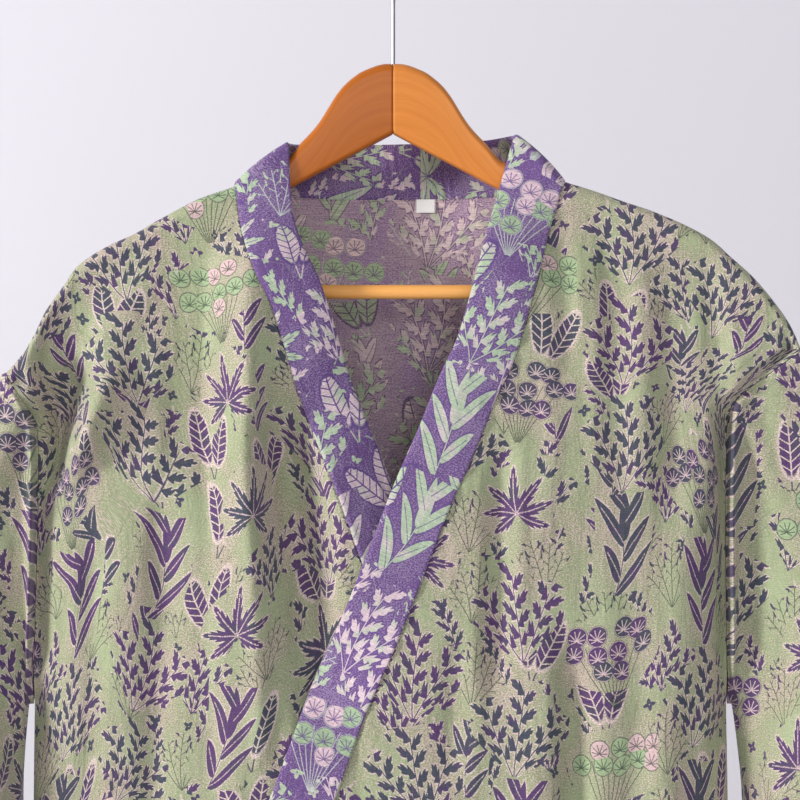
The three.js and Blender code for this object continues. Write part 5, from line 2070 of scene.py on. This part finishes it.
@dataclass
class LinePlant:
    """A fine plant: thin stems with short side twigs that end in small flowers.

    Sizes are in millimetres and angles in radians. bare is the share of a
    stem without twigs, and shorter is what each stem farther out lacks.
    """

    step: float = 0.34
    spread: float = 0.85
    length: float = 46.0
    pitch: float = 9.0
    twig: float = 5.6
    flower: float = 1.7
    petals: float = 3.0
    line: float = 0.3
    bare: float = 0.34
    shorter: float = 6.0

    def draw(self, t: Tree, p: Value, q: Value) -> Marks:
        """Draw the stems, the slanted twigs and a flower at each twig's end.

        Args:
            t: the tree.
            p: place across, from the root.
            q: place up from the root.

        Returns:
            The plant's marks.
        """
        r, angle = t.polar(p, q)
        number = t.math("ROUND", angle / self.step)
        offset = (angle - number * self.step) * r
        side = abs(offset)
        open_to = (abs(angle) < self.spread) * (r < self.length - abs(number) * self.shorter)
        strip = (r - side + (offset > 0.0) * (self.pitch / 2)) / self.pitch
        across = (t.math("FRACT", strip) - 0.5) * (self.pitch * 0.71)
        branched = open_to * (r > self.length * self.bare)
        twigs = abs(across).within(0.28) * (side < self.twig) * branched
        stem = side.within(self.line) * open_to
        far, turn = t.polar((side - self.twig) * 1.2, across)
        petals = t.math("COSINE", turn * self.petals) * 0.6 + self.flower
        flowers = far.within(petals) * branched
        return Marks(flowers, stem * 0.0, stem.either(twigs), open_to)


@dataclass
class Cells:
    """A brick pattern of cells on the cloth, each with its own chances."""

    width: float
    height: float
    shift: float
    seed: float

    BEND: ClassVar[float] = 0.009

    def place(self, t: Tree, u: Value, v: Value, sway: float, turn: float) -> tuple:
        """Find a point's cell and its place in it, in millimetres.

        Args:
            t: the tree.
            u: place across the cloth.
            v: place up the cloth.
            sway: how far a cell's middle may move either way.
            turn: how far a cell's drawing may turn either way, in radians.

        Returns:
            The place across and up from the cell's middle, and three chances.
        """
        column = t.math("FLOOR", u / self.width)
        step = t.math("FRACT", column * self.shift) * self.height
        raised = v + step
        row = t.math("FLOOR", raised / self.height)
        first, second, third = t.random(column, row, self.seed)
        x = u - (column + 0.5) * self.width - (first - 0.5) * (2 * sway)
        y = raised - (row + 0.5) * self.height - (second - 0.5) * (2 * sway)
        angle = (third - 0.5) * (2 * turn)
        bend = (first - 0.5) * self.BEND
        p = x + y * angle + y * y * bend
        q = y - x * angle
        chances = t.random(column, row, self.seed + 5.0)
        return p, q, chances


LONG_LEAVES = Leafage(step=0.0, start=0.0, length=76.0, pitch=25.0, leaf=37.0, width=6.2, slant=1.45,
                      teeth=0.0, rib=0.32)
SLIM_LEAVES = Leafage(step=0.0, start=0.0, length=54.0, pitch=17.5, leaf=25.0, width=4.7, slant=1.3,
                      teeth=0.0, rib=0.3)
SPRIG = Leafage(spread=0.75, step=0.55, start=7.0, length=56.0, pitch=12.5, leaf=14.5, width=4.4)
TWIG = Leafage(step=0.0, start=3.0, length=40.0, pitch=10.5, leaf=12.0, width=3.7)
LOW_PLANT = LinePlant(step=0.5, spread=0.8, length=34.0, pitch=8.0, twig=4.4, flower=1.5)


class Pattern:
    """The jacquard's plants, drawn once and shared by both faces of the cloth.

    Each layer of plants fills what the larger ones leave. Cells are in
    millimetres, and a cell's first chance picks which plant grows in it.
    """

    MILLIMETRES = 1000.0
    RAGGED = 0.75
    YARN_CHANGE = 16.0
    LARGE = Cells(76.0, 80.0, 0.47, 8.0)
    MIDDLE = Cells(52.0, 58.0, 0.61, 11.0)
    LOWER = Cells(38.0, 45.0, 0.43, 17.0)
    SMALL = Cells(19.0, 17.0, 0.37, 23.0)

    @cached_property
    def group(self) -> bpy.types.NodeTree:
        """The node group: from a place on the flat cloth to what is woven there.

        Returns:
            The group, with an output each for filled shapes, their yarn, round
            leaves and their tint, pale veins, thin lines and the plants' hulls.
        """
        tree = bpy.data.node_groups.new("jacquard_plants", "ShaderNodeTree")
        face = tree.interface
        face.new_socket("Flat", in_out="INPUT", socket_type="NodeSocketVector")
        for name in ("Fill", "Tone", "Disc", "Tint", "Pale", "Line", "Halo"):
            face.new_socket(name, in_out="OUTPUT", socket_type="NodeSocketFloat")
        t = Tree(tree)
        flat = t.node("NodeGroupInput", {}).outputs["Flat"]
        grain = t.node("ShaderNodeTexNoise", {"Vector": flat, "Scale": 1300.0, "Detail": 1.0})
        rag_u, rag_v, _ = t.parts(grain.outputs["Color"])
        u, v, _ = t.parts(flat)
        u = u * self.MILLIMETRES + (rag_u - 0.5) * self.RAGGED
        v = v * self.MILLIMETRES + (rag_v - 0.5) * self.RAGGED
        large, tone, disc, tint = self.large(t, u, v)
        middle, middle_tone = self.middle(t, u, v)
        middle = middle.only(1.0 - large.hull)
        tone = t.math("MULTIPLY_ADD", middle_tone - tone, middle.hull, tone)
        marks = large.joined(middle)
        lower, lower_tone = self.lower(t, u, v)
        lower = lower.only(1.0 - marks.hull)
        tone = t.math("MULTIPLY_ADD", lower_tone - tone, lower.hull, tone)
        marks = marks.joined(lower)
        small, small_tone = self.small(t, u, v)
        small = small * (1.0 - marks.hull)
        chosen = t.math("MULTIPLY_ADD", small_tone - tone, small, tone)
        cloud = t.cloud((u, v), (1 / self.YARN_CHANGE, 1 / self.YARN_CHANGE), 1.0)
        chosen = t.math("ADD", chosen * 0.8 + 0.1, (cloud - 0.5) * 3.0, clamp=True)
        outputs = {
            "Fill": marks.fill.either(small), "Tone": chosen, "Disc": disc, "Tint": tint,
            "Pale": marks.pale, "Line": marks.line, "Halo": marks.hull,
        }
        t.node("NodeGroupOutput", outputs)
        return tree

    def large(self, t: Tree, u: Value, v: Value) -> tuple:
        """Draw bouquets, clumps of round leaves, deep-cut leaves and long-leaf plants.

        Args:
            t: the tree.
            u: place across the cloth.
            v: place up the cloth.

        Returns:
            The marks, their yarn, where round leaves are, and the round leaves' chances.
        """
        p, q, (kind, chance, other) = self.LARGE.place(t, u, v, 5.0, 0.2)
        bouquet = Leafage().draw(t, p, q + 38.0).only(kind < 0.3)
        clump = kind.between(0.3, 0.62)
        discs, tint = Discs().draw(t, p, q, chance)
        discs = discs.only(clump)
        cut = DeepCut().draw(t, p, q + 6.0).only(kind.between(0.62, 0.84))
        marks = bouquet.joined(discs).joined(cut)
        marks = marks.joined(LONG_LEAVES.draw(t, p, q + 36.0).only(kind > 0.84))
        tone = (other + (tint - 0.5) * clump > 0.52)
        return marks, tone, discs.fill, (chance > 0.42) * 2.0 + tint

    def middle(self, t: Tree, u: Value, v: Value) -> tuple:
        """Draw parted oval leaves, sprigs and line plants between the large ones.

        Args:
            t: the tree.
            u: place across the cloth.
            v: place up the cloth.

        Returns:
            The marks and their yarn.
        """
        p, q, (kind, chance, _) = self.MIDDLE.place(t, u, v, 4.0, 0.35)
        parted = Segmented().draw(t, p, q - 3.0).only(kind < 0.28)
        leaves = SLIM_LEAVES.draw(t, p, q + 26.0).only(kind.between(0.28, 0.46))
        sprig = SPRIG.draw(t, p, q + 27.0).only(kind.between(0.46, 0.74))
        fine = LinePlant().draw(t, p, q + 24.0).only(kind > 0.74)
        return parted.joined(leaves).joined(sprig).joined(fine), (chance > 0.5) * 1.0

    def lower(self, t: Tree, u: Value, v: Value) -> tuple:
        """Draw the sprigs that fill in between the plants.

        Args:
            t: the tree.
            u: place across the cloth.
            v: place up the cloth.

        Returns:
            The marks and their yarn.
        """
        p, q, (kind, chance, _) = self.LOWER.place(t, u, v, 3.0, 0.6)
        sprig = TWIG.draw(t, p, q + 20.0).only(kind < 0.6)
        fine = LOW_PLANT.draw(t, p, q + 16.0).only(kind.between(0.6, 0.85))
        return sprig.joined(fine), (chance > 0.45) * 1.0

    def small(self, t: Tree, u: Value, v: Value) -> tuple:
        """Scatter four-petalled flowers over what is left of the ground.

        Args:
            t: the tree.
            u: place across the cloth.
            v: place up the cloth.

        Returns:
            Where the flowers are, and their yarn.
        """
        p, q, (kind, chance, _) = self.SMALL.place(t, u, v, 4.0, 0.8)
        r, angle = t.polar(p, q)
        petal = t.math("COSINE", angle * 4.0) * 1.3 + 3.7
        return r.within(petal) * (r > 0.6) * (kind > 0.66), (chance > 0.3) * 1.0


@dataclass(frozen=True)
class Jacquard:
    """One face of the cloth: its yarn colours and how it catches the light.

    The upper-case pairs are how often each kind of unevenness repeats in a
    metre, across the cloth and up it.
    """

    SLUB: ClassVar[tuple] = (80.0, 1250.0)
    CLOUD: ClassVar[tuple] = (26.0, 20.0)
    SPECK: ClassVar[tuple] = (780.0, 1250.0)
    CREASE: ClassVar[tuple] = (75.0, 17.0)
    PUCKER: ClassVar[tuple] = (240.0, 90.0)

    name: str
    ground: str
    ground_shade: str
    fleck: str
    first: str
    second: str
    disc_first: str
    disc_second: str
    pale: str
    line: str
    disc_line: str
    flecks: float = 0.42
    slubs: float = 1.0
    grain: float = 0.6
    roughness: float = 0.86
    sheen: float = 0.22
    weave: float = 0.00008
    crinkle: float = 0.0014

    def material(self, pattern: Pattern) -> bpy.types.Material:
        """Build the cloth: ground, flecks, plants, veins, slubs, nap and crinkle.

        Args:
            pattern: the plants that are woven in.

        Returns:
            The material.
        """
        material = bpy.data.materials.new(self.name)
        material.use_nodes = True
        t = Tree(material.node_tree)
        flat = t.node("ShaderNodeUVMap", {}, uv_map="flat").outputs[0]
        u, v, _ = t.parts(flat)
        woven = t.group(pattern.group, flat)
        marks = {name: Value(t, woven.outputs[name]) for name in woven.outputs.keys()}
        slub = t.cloud((u, v), self.SLUB, 2.0, 0.7)
        cloud = t.cloud((u, v), self.CLOUD)
        speck = t.cloud((u, v), self.SPECK, 1.0)
        share = (cloud - 0.5) * 1.6 + (slub - 0.5) * 1.1 + 0.42
        shaded = t.math("ADD", share, 0.0, clamp=True)
        ground = t.mix(shaded, colour(self.ground), colour(self.ground_shade))
        near = marks["Halo"] * 0.05 + (cloud - 0.5) * 0.55
        flecked = (speck + near - (1.0 - self.flecks)).within(0.0, 0.04)
        ground = t.mix((1.0 - flecked) * 0.68, ground, colour(self.fleck))
        fill = t.mix(marks["Tone"], colour(self.first), colour(self.second))
        tint = marks["Tint"]
        greener = tint.between(0.45, 1.1) + tint.between(2.45, 3.2)
        light = t.mix(greener, colour(self.disc_first), colour(self.disc_second))
        clump = marks["Disc"] * (tint > 1.5)
        fill = t.mix(clump, fill, light)
        cover = t.math("MULTIPLY_ADD", slub, 0.5, 0.68, clamp=True)
        woven_in = t.mix(marks["Fill"] * cover, ground, fill)
        dotted = marks["Pale"] * t.math("MULTIPLY_ADD", speck, 3.2, -0.85, clamp=True)
        veined = t.mix(dotted, woven_in, colour(self.pale))
        thin = marks["Disc"] * (1.0 - clump)
        line = t.mix(clump, colour(self.line), colour(self.disc_line))
        line = t.mix(thin, line, colour(self.pale))
        drawn = t.mix(marks["Line"] * 0.85, veined, line)
        yarn = slub * self.slubs + speck * self.grain + (1.0 - (self.slubs + self.grain) / 2)
        toned = t.node("ShaderNodeHueSaturation", {"Value": yarn, "Color": drawn}).outputs[0]
        crease = t.cloud((u, v), self.CREASE, 3.0, 0.55)
        pucker = t.cloud((u, v), self.PUCKER, 2.0, 0.6)
        height = crease * self.crinkle + pucker * (0.4 * self.crinkle) + slub * self.weave
        bump = t.node("ShaderNodeBump", {"Strength": 1.0, "Distance": 1.0, "Height": height})
        shader = t.node("ShaderNodeBsdfPrincipled", {
            "Base Color": toned, "Roughness": self.roughness, "Sheen Weight": self.sheen,
            "Sheen Roughness": 0.45, "Specular IOR Level": 0.22, "Normal": bump.outputs[0],
        })
        t.node("ShaderNodeOutputMaterial", {"Surface": shader.outputs[0]})
        return material


RIGHT_SIDE = Jacquard(
    "cloth_right_side", ground="A2AD88", ground_shade="7C8260", fleck="C8B1AA", first="4E2F63",
    second="383E50", disc_first="CDB0B0", disc_second="9CAF88", pale="D6BFBC", line="2C3F34",
    disc_line="33433C",
)
REVERSE_SIDE = Jacquard(
    "cloth_reverse", ground="6E5286", ground_shade="5A4274", fleck="9684A2", first="CFBBC0",
    second="ABBD9F", disc_first="CFB7BD", disc_second="9EB48F", pale="5E4780", line="BFC8BB",
    disc_line="5E4780",
)
# The reverse face as it is seen inside the robe. It is the same cloth as the collar's face, but its ground
# and yarns are lightened as painted light, which stands in for the light that reaches the inside of the robe.
INSIDE_WITH_PAINTED_LIGHT = Jacquard(
    "cloth_inside_painted_light", ground="9C80A4", ground_shade="8C7884", fleck="BCA6AA", first="D2BCBC",
    second="A9B896", disc_first="DCC2BD", disc_second="A9BD94", pale="5E4868", line="C4C1B6",
    disc_line="6E5A74", flecks=0.5, slubs=1.5,
)


@dataclass(frozen=True)
class VarnishedWood:
    """Varnished wood with fine grain along the piece.

    BANDS and GRAIN are how often each repeats in a metre, along and round it.
    """

    BANDS: ClassVar[tuple] = (9.0, 160.0)
    GRAIN: ClassVar[tuple] = (55.0, 2600.0)

    name: str
    light: str
    dark: str
    roughness: float = 0.4
    coat: float = 0.08

    def material(self) -> bpy.types.Material:
        """Build the wood: stretched grain, slow bands and a glossy coat.

        Returns:
            The material.
        """
        material = bpy.data.materials.new(self.name)
        material.use_nodes = True
        t = Tree(material.node_tree)
        u, v, _ = t.parts(t.node("ShaderNodeUVMap", {}, uv_map="flat").outputs[0])
        bands = t.cloud((u, v), self.BANDS, 3.0, 0.6)
        grain = t.cloud((u, v), self.GRAIN, 2.0, 0.6)
        share = bands * 1.1 + grain * 0.7 - 0.45
        base = t.mix(t.math("ADD", share, 0.0, clamp=True), colour(self.light), colour(self.dark))
        bump = t.node("ShaderNodeBump", {"Strength": 0.5, "Distance": 1.0, "Height": grain * 0.00006})
        shader = t.node("ShaderNodeBsdfPrincipled", {
            "Base Color": base, "Roughness": self.roughness, "Coat Weight": self.coat,
            "Coat Roughness": 0.2, "Specular IOR Level": 0.2, "Normal": bump.outputs[0],
        })
        t.node("ShaderNodeOutputMaterial", {"Surface": shader.outputs[0]})
        return material


@dataclass(frozen=True)
class PlainFinish:
    """A finish of one colour with a faint mottling."""

    name: str
    shade: str
    roughness: float
    metallic: float = 0.0
    mottle: float = 0.06
    scale: float = 900.0
    one_sided: bool = False

    def material(self) -> bpy.types.Material:
        """Build the finish.

        Returns:
            The material.
        """
        material = bpy.data.materials.new(self.name)
        material.use_nodes = True
        t = Tree(material.node_tree)
        place = t.node("ShaderNodeTexCoord", {}).outputs["Object"]
        cloud = t.node("ShaderNodeTexNoise", {"Vector": place, "Scale": self.scale, "Detail": 2.0})
        value = Value(t, cloud.outputs["Fac"]) * (2 * self.mottle) + (1.0 - self.mottle)
        toned = t.node("ShaderNodeHueSaturation", {"Value": value, "Color": colour(self.shade)})
        shader = t.node("ShaderNodeBsdfPrincipled", {
            "Base Color": toned.outputs[0], "Roughness": self.roughness, "Metallic": self.metallic,
        })
        if self.one_sided:
            behind = t.node("ShaderNodeNewGeometry", {}).outputs["Backfacing"]
            clear = t.node("ShaderNodeBsdfTransparent", {}).outputs[0]
            shader = t.node("ShaderNodeMixShader", {0: behind, 1: shader.outputs[0], 2: clear})
        t.node("ShaderNodeOutputMaterial", {"Surface": shader.outputs[0]})
        return material


DARK_WOOD = VarnishedWood("varnished_wood_dark", light="BE6C22", dark="9C4F12")
LIGHT_WOOD = VarnishedWood("varnished_wood_light", light="D88A40", dark="BC6C2A")
BAR_WOOD = VarnishedWood("pale_wood", light="F6B86C", dark="E39A48", roughness=0.42)
STEEL = PlainFinish("hook_steel", shade="9A9CA0", roughness=0.28, metallic=1.0)
THREAD = PlainFinish("sewing_thread", shade="4A3B5C", roughness=0.7, scale=2500.0)
TAPE = PlainFinish("white_tape", shade="F2F1EE", roughness=0.8, scale=2500.0)
WALL_PAINT = PlainFinish("pale_wall", shade="DCDAE0", roughness=0.95, mottle=0.01, scale=4.0,
                         one_sided=True)


@dataclass(frozen=True)
class Lamp:
    """A square soft light that faces a point."""

    name: str
    place: tuple[float, float, float]
    aim: tuple[float, float, float]
    side: float
    watts: float
    tint: tuple[float, float, float]

    def build(self) -> None:
        """Add the light and turn it to its point."""
        data = bpy.data.lights.new(self.name, "AREA")
        data.size, data.energy, data.color = self.side, self.watts, self.tint
        lamp = bpy.data.objects.new(self.name, data)
        bpy.context.collection.objects.link(lamp)
        lamp.location = self.place
        ray = np.array(self.aim) - np.array(self.place)
        lamp.rotation_euler = Vector(ray).to_track_quat("-Z", "Y").to_euler()


KEY_LIGHT = Lamp("key", (-4.0, -1.95, 0.7), (0.0, 0.0, -0.4), 0.9, 208, (1.0, 0.985, 0.97))
FILL_LIGHT = Lamp("fill", (0.5, -2.8, 0.4), (0.0, 0.0, -0.35), 1.2, 22, (0.97, 0.97, 1.0))


@dataclass
class Studio:
    """The pale room: a backdrop that curves into a floor, lights and a camera."""

    camera_x: float = 0.005
    camera_y: float = -1.8
    camera_z: float = -0.334
    view_width: float = 0.576
    sensor: float = 0.036
    floor_z: float = -1.36
    wall_y: float = 0.75
    reach: float = 4.0
    bend: float = 0.5
    glow: tuple[float, float, float, float] = (0.9, 0.9, 0.95, 1)
    glow_strength: float = 0.42

    def backdrop(self, finish: bpy.types.Material) -> None:
        """Sweep the wall's profile sideways: floor, a round corner, wall.

        Args:
            finish: the wall's paint.
        """
        turn = np.linspace(-np.pi / 2, 0, 24)
        corner_y = self.wall_y - self.bend + self.bend * np.cos(turn)
        corner_z = self.floor_z + self.bend + self.bend * np.sin(turn)
        y = np.concatenate([[-self.reach], corner_y, [self.wall_y]])
        z = np.concatenate([[self.floor_z], corner_z, [self.reach]])
        x = np.array([[-self.reach], [self.reach]])
        points = np.stack(np.broadcast_arrays(x, y[None, :], z[None, :]), axis=-1)
        count = len(y)
        i = np.arange(count - 1)
        faces = np.stack([i, count + i, count + i + 1, i + 1], axis=-1)
        flat = np.zeros((faces.size, 2))
        piece = mesh_object("backdrop", points.reshape(-1, 3), faces, flat, [finish])

    def camera(self) -> None:
        """Stand the camera level with the middle of the picture, aimed along +Y."""
        data = bpy.data.cameras.new("camera")
        data.sensor_width = 1000 * self.sensor
        data.lens = 1000 * self.sensor * -self.camera_y / self.view_width
        eye = bpy.data.objects.new("camera", data)
        bpy.context.collection.objects.link(eye)
        eye.location = (self.camera_x, self.camera_y, self.camera_z)
        eye.rotation_euler = (np.pi / 2, 0, 0)
        bpy.context.scene.camera = eye

    def build(self, wall: bpy.types.Material) -> None:
        """Add the backdrop, the soft lights, the room's glow and the camera.

        Args:
            wall: the wall's paint.
        """
        self.backdrop(wall)
        KEY_LIGHT.build()
        FILL_LIGHT.build()
        world = bpy.data.worlds.new("room")
        world.use_nodes = True
        background = world.node_tree.nodes["Background"].inputs
        background["Color"].default_value = self.glow
        background["Strength"].default_value = self.glow_strength
        bpy.context.scene.world = world
        bpy.context.scene.view_settings.view_transform = "Standard"
        self.camera()


@dataclass
class Sewing:
    """The rows of stitches beside the collar, under the neck seam and at the hem."""

    beside_collar: float = 0.008
    below_neck: float = 0.0035
    hem: float = 0.02
    off_cloth: float = 0.00055
    steps: int = 300

    def row(self, path: np.ndarray, side: float) -> tuple:
        """Lift a row of stitches off the cloth's middle.

        Args:
            path: the row's points.
            side: -1 on the front of the cloth, 1 on its back.

        Returns:
            The lifted path and its outward directions.
        """
        outward = np.broadcast_to([0.0, side, 0.0], path.shape)
        return path + outward * self.off_cloth, outward

    def build(self, thread: bpy.types.Material) -> None:
        """Make the three sets of rows.

        Args:
            thread: the thread's finish.
        """
        one, zero = np.ones(self.steps), np.zeros(self.steps)
        share = np.linspace(0.01, 0.985, self.steps)
        hem_fall = DRAPE.falls[-1:] - self.hem
        collar, neck, hem = [], [], []
        for half in (LEFT, RIGHT):
            beside = np.array([self.beside_collar])
            collar.append(self.row(DRAPE.front(half, DRAPE.falls[1:], beside, np.zeros(1))[:, 0], -1))
            below = np.array([self.below_neck])
            neck.append(self.row(DRAPE.back(half, below, share, zero, zero)[0], -1))
            hem.append(self.row(DRAPE.front(half, hem_fall, share, zero)[0], -1))
            hem.append(self.row(DRAPE.back(half, hem_fall, one, share, zero)[0], 1))
        Stitches("collar_stitches").build(collar, thread)
        Stitches("neck_stitches").build(neck, thread)
        Stitches("hem_stitches").build(hem, thread)


def main() -> None:
    """Build every piece of the robe and its hanger, then the room around them."""
    pattern = Pattern()
    # inside is the reverse face with painted light: lighter than the collar's face of the same cloth, for the
    # panels' inner faces.
    green, purple, inside = (face.material(pattern) for face in (RIGHT_SIDE, REVERSE_SIDE, INSIDE_WITH_PAINTED_LIGHT))
    hanger = Hanger()
    hanger.arm(LEFT, "arm_of_right_side", "hanger_arm_left", DARK_WOOD.material())
    hanger.arm(RIGHT, "arm_of_left_side", "hanger_arm_right", LIGHT_WOOD.material())
    hanger.bar(BAR_WOOD.material())
    hanger.hook(STEEL.material())
    Back().build(green, inside)
    Front(LEFT, "front_right_side", "front_under", (0.55, 0.04)).build(green, inside)
    Front(RIGHT, "front_left_side", "front_over", (0.02, 0.03)).build(green, inside)
    Sleeve(LEFT, "sleeve_of_right_arm", "sleeve_right", "front_right_side", (0.9, 0.35)).build(green, inside)
    Sleeve(RIGHT, "sleeve_of_left_arm", "sleeve_left", "front_left_side", (1.4, 0.6)).build(green, inside)
    Collar(LEFT, "band_under", "collar_under", (0.2, 0.4)).build(purple)
    Collar(RIGHT, "band_over", "collar_over", (0.7, 0.9)).build(purple)
    Label().build(TAPE.material())
    Sewing().build(THREAD.material())
    Studio().build(WALL_PAINT.material())


if __name__ == "__main__":
    main()
